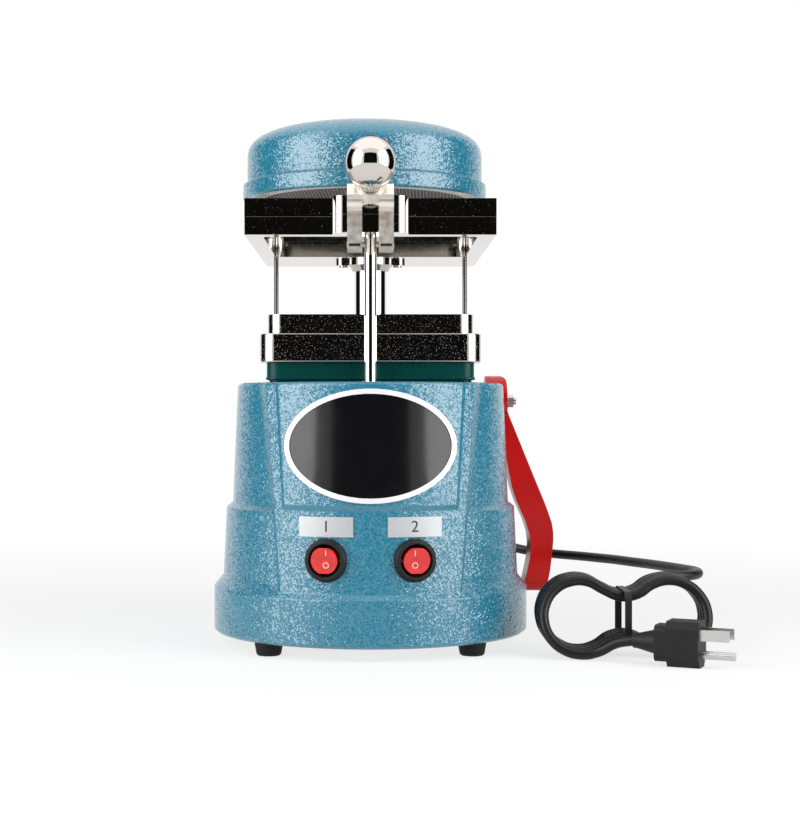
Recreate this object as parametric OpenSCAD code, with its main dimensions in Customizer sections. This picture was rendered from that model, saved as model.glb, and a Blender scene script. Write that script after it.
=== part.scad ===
// Dental vacuum former: a cast base with a vacuum motor, a side lever that lifts the vacuum
// table by a rack and sector, a fixed film frame with a swing clamp, and a heating head that
// swivels on the rear column. Z is up, the front faces -Y, and the origin is on the floor
// straight below the centre of the vacuum table.

/* [Base casting] */
// Radius of the bottom band, at the front
base_r = 99.5; // [90:0.5:112]
// Distance from the front round to the rear round
base_stretch = 40; // [30:1:60]
// Height of the deck above the floor
deck_z = 163.8; // [155:0.2:175]
// Height of the rubber feet
foot_h = 8; // [5:0.5:14]
// Wall of the casting
base_wall = 4; // [3:0.5:5]
// Thickness of the deck
deck_t = 4; // [3:0.5:4.5]
// Height of the bottom band above the feet
band_h = 28; // [20:1:34]
// Radial step from the band to the middle tier
band_step = 5.8; // [4:0.2:8]
// Height at which the middle tier ends
tier_z = 86; // [75:1:95]
// Radial step from the middle tier to the upper tier
tier_step = 3.9; // [3:0.1:6]
// Inward draft of each tier over its height
draft = 2.4; // [1:0.1:4]
// How far the front panel stands proud of the middle tier
panel_proud = 2.9; // [1.5:0.1:4]
// Half width of the front panel at the deck
panel_half = 63; // [56:0.5:66]
// How far the badge pad stands proud of the front panel
pad_proud = 1.5; // [0.8:0.1:2.5]
// Half width of the badge pad
pad_half = 55; // [52:0.5:56]
// Height of the foot of the badge pad
pad_z = 88; // [84:0.5:90]

/* [Badge, labels and switches] */
// Width of the oval badge
badge_w = 102; // [80:1:104]
// Height of the oval badge
badge_h = 67; // [50:1:68]
// Height of the badge's centre
badge_z = 126; // [124:0.5:128]
// Width of the badge's silver rim
badge_rim_w = 3; // [2:0.5:5]
// Width of a label plate
label_w = 31.8; // [24:0.2:34]
// Height of a label plate
label_h = 11.7; // [8:0.1:12]
// Height of the label plates' centres
label_z = 78.7; // [78:0.1:80]
// Diameter of a switch bezel
bezel_d = 25; // [22:0.5:26]
// Diameter of a rocker
rocker_d = 16; // [13:0.5:18]
// Height of the switches' centres
switch_z = 59.3; // [58:0.5:60]
// Turn of each switch from the front, round the base
switch_turn = 15.7; // [14:0.1:18]

/* [Vacuum table] */
// Width of the table's lower tier
table_w = 133.7; // [130:0.1:135]
// Height of the table's lower tier
table_h = 17.4; // [14:0.2:20]
// Width of the table's upper tier
table_top_w = 124.7; // [116:0.1:126]
// Height of the table's upper tier
table_top_h = 11.6; // [10:0.2:13]
// Width of the green seal block
seal_w = 125.8; // [116:0.2:127]
// Height of the green seal block
seal_h = 11.6; // [9:0.2:14]
// Number of suction holes along each side of the table
suction_n = 9; // [5:1:11]
// Diameter of a suction hole
suction_d = 2.2; // [1.5:0.1:3]
// Outer diameter of the lift post
post_d = 34; // [32:0.5:35]
// Bore of the lift post
post_bore = 26; // [22:0.5:27]

/* [Lift gear] */
// Height of the lever shaft
shaft_z = 153; // [152:0.2:153.6]
// Distance of the lever shaft behind the table's centre
shaft_y = 38; // [36:0.5:40]
// Diameter of the lever shaft
shaft_d = 9; // [8:0.5:10]
// Pitch radius of the sector gear, half the module times a whole number of teeth
pitch_r = 30; // [29:1:31]
// Module of the sector and rack teeth
gear_m = 2; // [2:0.5:2]
// Thickness of the sector gear
gear_t = 8; // [6:0.5:9]
// Play between the teeth
gear_play = 0.24; // [0.2:0.02:0.4]

/* [Lever] */
// Width of the lever, from front to back
lever_w = 26; // [20:1:28]
// Radius of the lever's eye
lever_eye_r = 16.6; // [15:0.2:18]
// Height of the lever's lower end
lever_end_z = 28; // [22:0.5:34]
// Outer reach of the lever's bow beyond the bottom band
lever_bow = 20.5; // [19:0.5:24]

/* [Film frames] */
// Width of the frames' sides round their opening
frame_side = 10.5; // [9:0.1:13]
// Width of the square opening in the frames
frame_open = 129; // [127.5:0.5:131]
// Height of the lower frame's underside
frame_z = 251.2; // [248:0.2:256]
// Thickness of the lower frame
frame_t = 10.7; // [9:0.1:12]
// Thickness of the upper frame
upper_t = 11.1; // [9:0.1:12]
// Length of the lower frame's rear plate, measured from the table's centre
frame_rear = 139; // [132:1:142]
// Half width of the front lug
lug_half = 22.6; // [19:0.2:24]
// How far the front lug bulges ahead of the frame
lug_out = 13; // [12.5:0.5:13]

/* [Column and rods] */
// Diameter of the rear column
column_d = 23; // [20:0.5:25]
// Distance of the rear column behind the table's centre
column_y = 103; // [101:0.5:105]
// Diameter of the front rod
rod_d = 7.5; // [6.5:0.1:8]
// Distance of the front rod ahead of the table's side
rod_gap = 5.15; // [5:0.05:6]
// Diameter of the thin rear rods
thin_d = 3.1; // [2.5:0.1:4]
// How far the thin rods stand inside the table's sides
thin_in = 2.35; // [1:0.05:4]
// Distance of the thin rods behind the table
thin_gap = 4.15; // [3:0.05:6]

/* [Clamp] */
// Width of one bar of the clamp yoke
bar_w = 8.7; // [7:0.1:10]
// Inner distance of a bar from the middle
bar_in = 4.9; // [4.6:0.1:6]
// Diameter of the ball knob
ball_d = 29.3; // [25:0.1:30]
// Diameter of the knurled skirt under the ball
collar_d = 25; // [22:0.1:28]
// Tilt of the clamp screw above the level
screw_tilt = 40; // [38:1:42]
// Lead of the clamp screw, a turn
screw_lead = 1.5; // [1:0.25:2]

/* [Heating head] */
// Radius of the head's bottom band
head_r = 77.5; // [74:0.1:79]
// Height of the head's underside
head_z = 279.9; // [279:0.1:284]
// Height of the head's bottom band
head_band_h = 10.6; // [8:0.2:14]
// Radial step from the band to the dome
head_step = 2.7; // [1.5:0.1:4]
// Height of the dome above the band
dome_h = 37; // [30:0.5:44]
// Height of the straight part of the dome's wall
dome_wall_h = 15.5; // [10:0.5:20]
// Thickness of the dome's wall
dome_t = 3; // [2:0.5:4]
// Radius of the guard mesh under the head
guard_r = 65.5; // [60:0.5:68]
// Turn of the head about the column, at rest
head_turn = -2.1; // [-4:0.1:4]
// Turn of the star knob round the dome, from the dome's front
star_turn = 5.4; // [0:0.1:8]
// Radius of the red star knob
star_r = 12; // [10:0.5:12.5]
// Height of the star knob above the head's underside
star_up = 16.6; // [16:0.2:18]

/* [Cord] */
// Diameter of the mains cord
cord_d = 6.4; // [5.5:0.1:6.6]
// Height of the cord's exit
cord_exit_z = 50.5; // [50:0.5:56]

/* [Hidden] */
// Running clearance of shafts and screws, on the radius
run = 0.05;
// Clearance between parts that pass each other
gap = 0.3;
// Facets of a round surface
$fn = 72;

// Profile of the base casting
band_top = foot_h + band_h;
mid_z = band_top + 7;
mid_r = base_r - band_step;
mid_top_r = mid_r - draft * 0.85;
upper_r = mid_top_r - tier_step;
deck_r = upper_r - draft * 1.25;
upper_z = tier_z + 3;
edge_r = 2.5;
panel_low_r = mid_r + panel_proud;
panel_top_r = deck_r + panel_proud + tier_step;
panel_fall = (panel_low_r - panel_top_r) / (deck_z - mid_z);
rim_h = 3;
foot_in = base_r - 34.5;

// Heights of the moving table at rest
seal_z = deck_z + gap;
table_z = seal_z + seal_h;
table_top_z = table_z + table_h;
table_face_z = table_top_z + table_top_h;
stroke = frame_z - table_top_z - gap;
lever_turn = stroke / pitch_r * 180 / PI;

// Rack and sector
pitch = PI * gear_m;
gear_x = 26;
pitch_y = shaft_y - pitch_r;
tooth_turn = pitch / pitch_r * 180 / PI;
teeth_n = ceil((lever_turn + 8) / tooth_turn) + 1;
rack_low = shaft_z - stroke - 2.5 * pitch;
boss_in = 9;
pocket_r = 30.5;
bush_wall = 2;
guide_l = 48;

// Lever
wall_x = deck_r - 9.56;
eye_x = wall_x + 14.7;
lever_bow_x = base_r + lever_bow;

// Frames, and the rods that pass the table
frame_w = frame_open + 2 * frame_side;
rod_y = table_w / 2 + rod_gap;
thin_x = table_w / 2 - thin_in;
thin_y = table_w / 2 + thin_gap;
frame_top = frame_z + frame_t;
upper_top = frame_top + upper_t;
frame_half = frame_w / 2;
lug_front = frame_half + lug_out;
head_top = head_z + head_band_h + dome_h;
dome_r = head_r - head_step;
hinge_y = frame_half + 5;

// The clamp screw's line, from its seat on the upper frame's lug
seat_y = -(lug_front - 1.5);
seat_z = upper_top - 5;
pin_y = -rod_y;
pin_z = frame_z - 5.7;
eye_r = rod_gap - 0.45;
bar_front = lug_front + 4;
flange_t = 2.6;
flange_x = column_d / 2 + 7.5;

// Clamp screw, its boss on the yoke and its loose tip
screw_r = 3.5;
boss_low = 7.5;
boss_high = 14.5;
tip_len = 6;
skirt_h = 10.2;

// Vacuum motor
motor_r = 52;
motor_low = foot_h + rim_h + 4;
motor_top = 68;

// Hank of cord: half length, radii of the lobes and of the neck, turns and their spacing
hank_at = [151.5, -66, 24.3];
hank_a = 49;
lobe_r = 22;
neck_r = 20;
hank_turns = 3.5;
hank_step = 7.3;
hank_lean = 18;
hank_rings = 24;
lobe_x = hank_a - lobe_r;
neck_turn = asin(lobe_x / (lobe_r + neck_r));
neck_z = (lobe_r + neck_r) * cos(neck_turn);
lobe_run = lobe_r * (90 + neck_turn);
quarter_run = lobe_run + neck_r * neck_turn;
hank_from = 90 * lobe_r * 90 / quarter_run;

// Where the cord leaves the strain relief, and where it meets the plug
relief_l = 26;
exit_turn = 40;
exit_r = mid_top_r + (tier_z - cord_exit_z) * (mid_r - mid_top_r) / (tier_z - mid_z);
exit_dir = [cos(exit_turn), sin(exit_turn), 0];
relief_end = [0, base_stretch, cord_exit_z] + exit_dir * (exit_r + relief_l);
plug_start = [153.0, -96.1, 13.2];
plug_turn = -25;
boot_l = 15;
plug_l = 25;
plug_dir = [cos(plug_turn), sin(plug_turn), 0];

// Free stretch of the cord from the strain relief to the hank, then from the hank to the plug
cord_route = [
    [98, 121.5, 49.5], [106, 125, 47.5], [115, 126, 45.7], [124, 124.5, 44.6], [133, 120, 44],
    [142, 113, 43.8], [151, 103, 43.8], [160, 91, 43.8], [168.5, 77, 44], [177, 61, 44],
    [185, 45, 44.2], [191.5, 29, 44.4], [197.5, 13, 44.6], [202, -1.5, 44.8], [204.9, -13, 45],
    [204.7, -26.0, 45.1], [201.1, -34.1, 45.1], [195.1, -40.7, 45.1], [187.3, -45.0, 45.1]
];
tail_route = [
    [133.8, -87.0, 5.2], [143.6, -91.7, 11.0]
];

// Points of an arc round (cx, cy), from angle a0 to a1
function arc(cx, cy, r, a0, a1, n) =
    [for (i = [0:n]) [cx + r * cos(a0 + (a1 - a0) * i / n), cy + r * sin(a0 + (a1 - a0) * i / n)]];

// Radius of the front panel at a height
function panel_r(z) = panel_low_r - (z - mid_z) * panel_fall;

// A solid whose plan has a round front and a round rear, from one half profile
module stadium(profile) {
    n = len(profile);
    both = concat(profile, [for (i = [n - 1:-1:0]) [-profile[i][0], profile[i][1]]]);
    rotate_extrude($fn = 120) polygon(profile);
    translate([0, base_stretch, 0]) rotate_extrude($fn = 120) polygon(profile);
    translate([0, base_stretch, 0])
        rotate([90, 0, 0]) linear_extrude(base_stretch) polygon(both);
}

// A square with rounded corners, as a flat shape
module round_square(w, d, r) {
    square([w - 2 * r, d], center = true);
    square([w, d - 2 * r], center = true);
    for (x = [-1, 1]) for (y = [-1, 1])
        translate([x * (w / 2 - r), y * (d / 2 - r)]) circle(r, $fn = 32);
}

// A rounded square block standing on z
module block(w, d, h, r, z) {
    translate([0, 0, z]) linear_extrude(h) round_square(w, d, r);
}

// Turns what faces -Y by an angle round the base's front centre
module round_front(turn) {
    rotate([0, 0, turn]) children();
}

// A half space to the left of a leaning plane that stands at the point (x, y, deck_z)
module left_of(x, y, turn, lean) {
    translate([x, y, deck_z]) rotate([0, lean, turn])
        translate([-300, -150, -200]) cube([300, 300, 320]);
}

// Both flanks of a feature on the front, mirrored left and right
module between_flanks(x, y, turn, lean) {
    intersection() {
        left_of(x, y, turn, lean);
        mirror([1, 0, 0]) left_of(x, y, turn, lean);
    }
}

// Outer skin of the casting, before its openings
module base_outside() {
    stadium([
        [0, foot_h], [base_r - 1.5, foot_h], [base_r, foot_h + 1.5], [base_r, band_top],
        [mid_r, mid_z], [mid_top_r, tier_z], [upper_r, upper_z],
        each arc(deck_r - edge_r, deck_z - edge_r, edge_r, 0, 90, 5), [0, deck_z]
    ]);
    panel_y = -sqrt(pow(panel_top_r, 2) - pow(panel_half, 2));
    intersection() {
        rotate_extrude($fn = 120) polygon([
            [0, band_top - 2], [panel_r(band_top - 2), band_top - 2],
            each arc(panel_r(deck_z) - edge_r, deck_z - edge_r, edge_r, 0, 90, 5), [0, deck_z]
        ]);
        between_flanks(panel_half, panel_y, -15, 2.6);
        translate([-base_r, -base_r, 0]) cube([2 * base_r, base_r - 30, deck_z]);
    }
    pad_top_r = panel_top_r + pad_proud;
    pad_y = -sqrt(pow(pad_top_r, 2) - pow(pad_half, 2));
    intersection() {
        rotate_extrude($fn = 120) polygon([
            [0, pad_z], [panel_r(pad_z), pad_z], [panel_r(pad_z + 3) + pad_proud, pad_z + 3],
            each arc(pad_top_r - edge_r, deck_z - edge_r, edge_r, 0, 90, 5), [0, deck_z]
        ]);
        between_flanks(pad_half, pad_y, -28, 0.5);
        translate([-base_r, -base_r, 0]) cube([2 * base_r, base_r - 30, deck_z]);
    }
}

// Hollow of the casting
module base_inside() {
    stadium([
        [0, foot_h - 1], [base_r - base_wall, foot_h - 1], [base_r - base_wall, band_top - 2],
        [mid_r - base_wall, mid_z - 2], [mid_top_r - base_wall, tier_z - 2],
        [upper_r - base_wall, upper_z - 2], [deck_r - base_wall, deck_z - deck_t],
        [0, deck_z - deck_t]
    ]);
}

// A round bar along X from x to x + l, centred on the lever shaft
module on_shaft(x, l, r) {
    translate([x, shaft_y, shaft_z]) rotate([0, 90, 0]) cylinder(h = l, r = r);
}

// Places what stands at the origin and points along -Y onto the front at the switches
module at_switch(side) {
    round_front(side * switch_turn)
        translate([0, -panel_r(switch_z) - 0.2, switch_z]) children();
}

module base_housing() {
    color("#4e8eaa") difference() {
        union() {
            difference() {
                base_outside();
                base_inside();
            }
            intersection() {
                base_outside();
                on_shaft(wall_x - boss_in, 30, pocket_r + base_wall);
            }
            intersection() {
                translate([0, 0, foot_h]) for (p = screw_places())
                    translate(p) cylinder(h = band_h, r = 6);
                base_outside();
            }
            translate([0, column_y, deck_z - 34]) cylinder(h = 32, r = column_d / 2 + 6);
            translate([0, -rod_y, deck_z - 22]) cylinder(h = 20, r = rod_d / 2 + 4);
            for (x = [-thin_x, thin_x])
                translate([x, thin_y, deck_z - 14]) cylinder(h = 12, r = thin_d / 2 + 3);
        }
        on_shaft(wall_x, 40, pocket_r);
        on_shaft(wall_x - boss_in - 1, 20, shaft_d / 2 + run + bush_wall);
        translate([0, 0, foot_h - 1]) linear_extrude(rim_h + 1) bottom_shape(gap);
        for (p = screw_places()) translate([p[0], p[1], foot_h]) cylinder(h = 14, r = 1.6);
        translate([0, 0, deck_z - deck_t - 1]) cylinder(h = deck_t + 2, r = post_d / 2 + 4);
        translate([gear_x - 2.5, pitch_y - 15, deck_z - deck_t - 1])
            cube([gear_t + 5, 67, deck_t + 2]);
        translate([0, column_y, deck_z - 30]) cylinder(h = 31, r = column_d / 2);
        translate([0, -rod_y, deck_z - 18]) cylinder(h = 19, r = rod_d / 2);
        for (x = [-thin_x, thin_x])
            translate([x, thin_y, deck_z - 11]) cylinder(h = 12, r = thin_d / 2);
        for (side = [-1, 1]) at_switch(side) {
            rotate([-90, 0, 0]) cylinder(h = 30, r = bezel_d / 2 - 2);
            translate([0, 1, 0]) rotate([90, 0, 0]) cylinder(h = 7, r = bezel_d / 2 + gap);
        }
        relief_hole();
    }
}

// Plan of the bottom plate, smaller than the inner rim by a clearance
module bottom_shape(more) {
    r = base_r - 2.5 + more - gap;
    circle(r, $fn = 120);
    translate([0, base_stretch]) circle(r, $fn = 120);
    translate([-r, 0]) square([2 * r, base_stretch]);
}

// Places of the four feet
function foot_places() = [
    for (x = [-1, 1]) for (y = [-foot_in, base_stretch + foot_in]) [x * (foot_in - 4), y, 0]
];

// Places of the bottom plate's screws, beside the feet
function screw_places() = [for (x = [-1, 1]) for (y = [-20, base_stretch + 20]) [x * (base_r - 12.5), y, 0]];

module bottom_plate() {
    color("#8e9296") difference() {
        translate([0, 0, foot_h]) linear_extrude(rim_h) difference() {
            bottom_shape(0);
            for (p = screw_places()) translate([p[0], p[1]]) circle(1.8, $fn = 24);
            for (p = foot_places()) translate([p[0], p[1]]) circle(2.1, $fn = 24);
            for (i = [-4:4]) translate([i * 9 - 2, base_stretch - 45]) square([4, 34]);
        }
    }
}

module bottom_screws() {
    color("silver") for (p = screw_places()) translate([p[0], p[1], foot_h]) {
        translate([0, 0, -1.6]) cylinder(h = 1.6, r = 3.2, $fn = 24);
        translate([0, 0, -0.01]) cylinder(h = 11, r = 1.6, $fn = 24);
    }
}

module rubber_feet() {
    color("#161616") for (p = foot_places()) translate(p) difference() {
        rotate_extrude() polygon([
            [0, 0], [6.6, 0], [7.5, 1], [8.5, foot_h - 1.5], [8.5, foot_h], [0, foot_h]
        ]);
        translate([0, 0, -1]) cylinder(h = 4.5, r = 4, $fn = 32);
        translate([0, 0, -1]) cylinder(h = foot_h + 2, r = 2.1, $fn = 24);
    }
}

// Outline of an oval
module oval(w, h) {
    polygon([for (i = [0:79]) [w / 2 * cos(i * 4.5), h / 2 * sin(i * 4.5)]]);
}

// A curved plate on the front, cut out by a flat outline seen from the front
module front_plate(proud, t, z) {
    intersection() {
        difference() {
            rotate_extrude($fn = 120) polygon([
                [60, mid_z], [panel_r(mid_z) + proud + t, mid_z],
                [panel_r(deck_z) + proud + t, deck_z], [60, deck_z]
            ]);
            rotate_extrude($fn = 120) polygon([
                [0, mid_z - 1], [panel_r(mid_z - 1) + proud, mid_z - 1],
                [panel_r(deck_z + 1) + proud, deck_z + 1], [0, deck_z + 1]
            ]);
        }
        translate([0, 0, z]) rotate([90, 0, 0]) linear_extrude(base_r + 20) children();
    }
}

module badge_plate() {
    color("#141414") front_plate(pad_proud, 0.9, badge_z)
        oval(badge_w - 2 * badge_rim_w, badge_h - 2 * badge_rim_w);
}

module badge_rim() {
    color("silver") front_plate(pad_proud, 1.4, badge_z) difference() {
        oval(badge_w, badge_h);
        oval(badge_w - 2 * badge_rim_w, badge_h - 2 * badge_rim_w);
    }
}

module label(side) {
    color("#f0efe8") front_plate(0, 0.5, label_z)
        translate([side * 26, 0]) square([label_w, label_h], center = true);
}

module label_left() {
    label(-1);
}

module label_right() {
    label(1);
}

// Bezel and barrel of a rocker switch
module bezel(side) {
    color("#1b1b1c") at_switch(side) difference() {
        union() {
            rotate([90, 0, 0]) rotate_extrude() polygon([
                [0, -1], [bezel_d / 2, -1], [bezel_d / 2, 1.4],
                each arc(bezel_d / 2 - 2, 1.4, 2, 0, 90, 4), [0, 3.4]
            ]);
            rotate([-90, 0, 0]) cylinder(h = 26, r = bezel_d / 2 - 2.6);
        }
        translate([0, -4, 0]) rotate([-90, 0, 0]) cylinder(h = 14, r = rocker_d / 2 + 0.55);
        translate([0, 0.5, 0]) rotate([90, 0, 0])
            cylinder(h = 4.3, r1 = rocker_d / 2 + 0.55, r2 = rocker_d / 2 + 1.9);
        switch_pivot(side) cylinder(h = rocker_d + 3, r = 1.05 + run, center = true, $fn = 24);
    }
}

// Places what is centred on Z along a rocker's pivot, in the switch's own place
module switch_pivot(side) {
    translate([0, 1, 0]) rotate([0, 90, 0]) children();
}

module bezel_left() {
    bezel(-1);
}

module bezel_right() {
    bezel(1);
}

// A rocker: a dished button that tips about its level pivot
module rocker(side) {
    color("#d01616") at_switch(side) {
        intersection() {
            translate([0, -12, 0]) rotate([-90, 0, 0]) cylinder(h = 20, r = rocker_d / 2);
            rotate([0, 90, 0]) linear_extrude(rocker_d, center = true) polygon([
                [rocker_d / 2 - 0.5, -3.5], [4, -3.6], [0, -4], [-4, -4.7],
                [-rocker_d / 2 + 0.5, -5.4], [-rocker_d / 2 + 0.5, 2.2], [-3, 5.6], [3, 5.6],
                [rocker_d / 2 - 0.5, 2.2]
            ]);
        }
        switch_pivot(side) cylinder(h = rocker_d + 2, r = 1.05, center = true, $fn = 24);
    }
}

module rocker_left() {
    rocker(-1);
}

module rocker_right() {
    rocker(1);
}

// The lever seen from the front: an upright eye block, then a bow out round the base
module lever_front() {
    top_z = shaft_z + lever_eye_r;
    in_x = wall_x + 0.8;
    out_x = lever_bow_x;
    low_x = base_r + 1.3;
    polygon([
        [in_x, top_z], [in_x, shaft_z - 15.5], [in_x + 12.4, shaft_z - 25],
        [in_x + 13.2, 116], [base_r - 8.6, 106], [base_r - 6.6, 96], [base_r - 3.5, 87],
        [base_r - 0.4, 80], [base_r + 2.2, 74],
        [base_r + 4.8, 66], [base_r + 5.7, 58], [base_r + 5.1, 50], [base_r + 3.5, 42],
        [base_r + 1.9, 35], [low_x, lever_end_z + 1], [low_x + 1, lever_end_z],
        [out_x - 6.5, lever_end_z], [out_x - 4.5, lever_end_z + 1.5], [out_x - 2, 42],
        [out_x - 0.6, 54], [out_x, 61], [out_x, 67], [out_x - 1, 73], [out_x - 3, 79],
        [out_x - 6, 87], [out_x - 11, 99],
        [eye_x, shaft_z - 7],
        each arc(in_x + 9, top_z - 4.5, 4.5, 0, 90, 4)
    ]);
}

module lift_lever() {
    color("#c00808") difference() {
        intersection() {
            translate([0, shaft_y + lever_eye_r, 0])
                rotate([90, 0, 0]) linear_extrude(2 * lever_eye_r) lever_front();
            translate([wall_x - 15, shaft_y, 0]) rotate([90, 0, 90]) linear_extrude(80) union() {
                translate([0, shaft_z]) circle(lever_eye_r);
                translate([-lever_w / 2, lever_end_z + 6])
                    square([lever_w, shaft_z - lever_end_z - 6]);
                translate([-lever_w / 2 + 6, lever_end_z]) square([lever_w - 12, 20]);
                for (s = [-1, 1])
                    translate([s * (lever_w / 2 - 6), lever_end_z + 6]) circle(6, $fn = 32);
            }
        }
        on_shaft(wall_x - 5, 30, shaft_d / 2);
    }
}

module lever_shaft() {
    color("silver") {
        on_shaft(gear_x - 12, eye_x - 1.3 - gear_x + 12, shaft_d / 2);
        on_shaft(eye_x - 2, 8.6, 2.4);
    }
}

module lever_nut() {
    color("#c9c2a8") difference() {
        union() {
            on_shaft(eye_x, 1, 5.2);
            translate([eye_x + 1, shaft_y, shaft_z]) rotate([0, 90, 0]) cylinder(h = 4, r = 4.2, $fn = 6);
        }
        on_shaft(eye_x - 10, 30, 2.4);
    }
}

// Half the angle that a tooth fills at a radius, for involute flanks at 20 degrees
function tooth_half(r) =
    let (base = pitch_r * cos(20), a = acos(min(1, base / r)))
    (90 / PI * (pitch - gear_play / 2) / pitch_r / 1) / 2 + (tan(20) * 180 / PI - 20)
    - (tan(a) * 180 / PI - a);

// Outline of the toothed sector, from its middle round its teeth
function sector_outline() =
    let (low = pitch_r * cos(20), root = pitch_r - 1.25 * gear_m,
        radii = [root, for (i = [0:5]) low + (pitch_r + gear_m - low) * i / 5],
        first = 180 - tooth_turn / 2)
    concat([[0, 0], at_angle(root, first - tooth_turn / 2)], [
        for (k = [0:teeth_n - 1]) for (side = [-1, 1]) for (i = [0:6])
            let (r = radii[side < 0 ? i : 6 - i])
            at_angle(r, first + k * tooth_turn + side * tooth_half(max(r, low)))
    ], [at_angle(root, first + (teeth_n - 0.5) * tooth_turn)]);

function at_angle(r, a) = [r * cos(a), r * sin(a)];

module sector_gear() {
    color("#8a8d90") difference() {
        union() {
            translate([gear_x, shaft_y, shaft_z]) rotate([90, 0, 90])
                linear_extrude(gear_t) polygon(sector_outline());
            on_shaft(gear_x, gear_t, 8.5);
        }
        on_shaft(gear_x - 1, gear_t + 2, shaft_d / 2);
    }
}

// One rack tooth, as a flat shape in Y and Z that points along +Y
module rack_tooth() {
    half = pitch / 4 - gear_play / 4;
    lean = tan(20);
    polygon([
        [-1.25 * gear_m - 0.5, -half - 1.25 * gear_m * lean], [gear_m, -half + gear_m * lean],
        [gear_m, half - gear_m * lean], [-1.25 * gear_m - 0.5, half + 1.25 * gear_m * lean]
    ]);
}

module lift_rack() {
    back = 10;
    face = pitch_y - 1.25 * gear_m;
    color("#9a9da0") translate([gear_x - 1, 0, 0]) {
        rotate([90, 0, 90]) linear_extrude(gear_t + 2) union() {
            translate([face - back, rack_low]) square([back, table_z - rack_low]);
            for (k = [-floor((shaft_z - rack_low - 2) / pitch):1])
                translate([pitch_y, shaft_z + k * pitch]) rack_tooth();
        }
    }
}

module shaft_bracket() {
    x = gear_x - 11;
    top = deck_z - deck_t;
    color("#9a9da0") difference() {
        union() {
            translate([x, shaft_y - 10, shaft_z]) cube([6, 20, top - shaft_z]);
            translate([x, shaft_y, shaft_z]) rotate([0, 90, 0]) cylinder(h = 6, r = 10);
            translate([x - 14, shaft_y - 10, top - 3]) cube([16, 20, 3]);
        }
        on_shaft(x - 1, 8, shaft_d / 2 + run + bush_wall);
        translate([x - 30, shaft_y - 30, top]) cube([60, 60, 10]);
    }
}

module shaft_bushes() {
    color("#b08d4a") for (b = [[gear_x - 11, 6], [wall_x - boss_in, boss_in]]) difference() {
        on_shaft(b[0], b[1], shaft_d / 2 + run + bush_wall);
        on_shaft(b[0] - 1, b[1] + 2, shaft_d / 2 + run);
    }
}

module table_base() {
    pocket = table_top_w - 14;
    color("#b9b6b0") difference() {
        block(table_w, table_w, table_h, 11, table_z);
        block(pocket, pocket, table_h, 5, table_z + 5);
        translate([0, 0, table_z - 1]) cylinder(h = 10, r = post_bore / 2);
    }
}

module table_top() {
    pocket = table_top_w - 14;
    spread = table_top_w - 22;
    color("#bdbab4") difference() {
        block(table_top_w, table_top_w, table_top_h, 10, table_top_z);
        block(pocket, pocket, table_top_h - 3.2, 5, table_top_z - 0.1);
        for (i = [0:suction_n - 1]) for (j = [0:suction_n - 1])
            translate([
                spread * (i / (suction_n - 1) - 0.5), spread * (j / (suction_n - 1) - 0.5),
                table_face_z - 5
            ]) cylinder(h = 6, r = suction_d / 2, $fn = 16);
    }
}

module table_seal() {
    neck = 1.2;
    color("#0a4a42") difference() {
        union() {
            block(seal_w - 3, seal_w - 3, neck, 7, seal_z);
            block(seal_w + 1, seal_w + 1, 1.6, 8, seal_z + neck);
            block(seal_w, seal_w, seal_h - neck - 1.6, 8, seal_z + neck + 1.6);
        }
        translate([0, 0, seal_z - 1]) cylinder(h = seal_h + 2, r = post_d / 2 + 4);
        translate([gear_x - 2.5, pitch_y - 15, seal_z - 1]) cube([gear_t + 5, 20, seal_h + 2]);
    }
}

module lift_post() {
    low = shaft_z - stroke - 16;
    color("silver") difference() {
        translate([0, 0, low]) cylinder(h = table_z - low, r = post_d / 2);
        translate([0, 0, low - 1]) cylinder(h = table_z - low + 2, r = post_bore / 2);
    }
}

module post_guide() {
    low = shaft_z - guide_l;
    top = deck_z - deck_t;
    color("#9a9da0") difference() {
        union() {
            translate([0, 0, low]) cylinder(h = deck_z - low, r = post_d / 2 + 4);
            translate([0, 0, top - 4]) cylinder(h = 4, r = post_d / 2 + 7);
        }
        translate([0, 0, low - 1]) cylinder(h = deck_z - low + 2, r = post_d / 2 + run);
    }
}

module vacuum_pipe() {
    low = motor_top;
    high = shaft_z - 3;
    color("#5d6266") difference() {
        union() {
            translate([0, 0, low]) cylinder(h = high - low, r = post_bore / 2 - 0.1);
            translate([0, 0, low]) cylinder(h = 4, r = post_bore / 2 + 6);
        }
        translate([0, 0, low - 1]) cylinder(h = high - low + 2, r = post_bore / 2 - 2.5);
    }
}

module vacuum_motor() {
    color("#2c3a46") difference() {
        rotate_extrude() polygon([
            [0, motor_low], [motor_r - 8, motor_low], [motor_r - 8, motor_low + 22],
            [motor_r, motor_low + 22], [motor_r, motor_top - 6], [motor_r - 4, motor_top],
            [0, motor_top]
        ]);
        translate([0, 0, motor_top - 9]) cylinder(h = 10, r = post_bore / 2 - 2.5);
    }
}

module motor_mount() {
    color("#1d1d1d") translate([0, 0, foot_h + rim_h]) difference() {
        cylinder(h = 26, r = motor_r);
        translate([0, 0, -1]) cylinder(h = 28, r = motor_r - 8);
    }
    color("#1d1d1d") translate([0, 0, foot_h + rim_h]) cylinder(h = 4, r = motor_r - 8);
}

module rear_column() {
    color("#d4d4d6") translate([0, column_y, deck_z - 30])
        cylinder(h = head_z + 22 - deck_z + 30, r = column_d / 2);
}

module front_rod() {
    color("#d4d4d6") difference() {
        translate([0, -rod_y, deck_z - 18])
            cylinder(h = frame_z + 7 - deck_z + 18, r = rod_d / 2);
        translate([-10, pin_y, pin_z]) rotate([0, 90, 0]) cylinder(h = 20, r = 1.8 + run, $fn = 32);
    }
}

module rear_rods() {
    color("#bfbfc2") for (x = [-thin_x, thin_x]) translate([x, thin_y, deck_z - 11])
        cylinder(h = frame_z + 6 - deck_z + 11, r = thin_d / 2);
}

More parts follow.
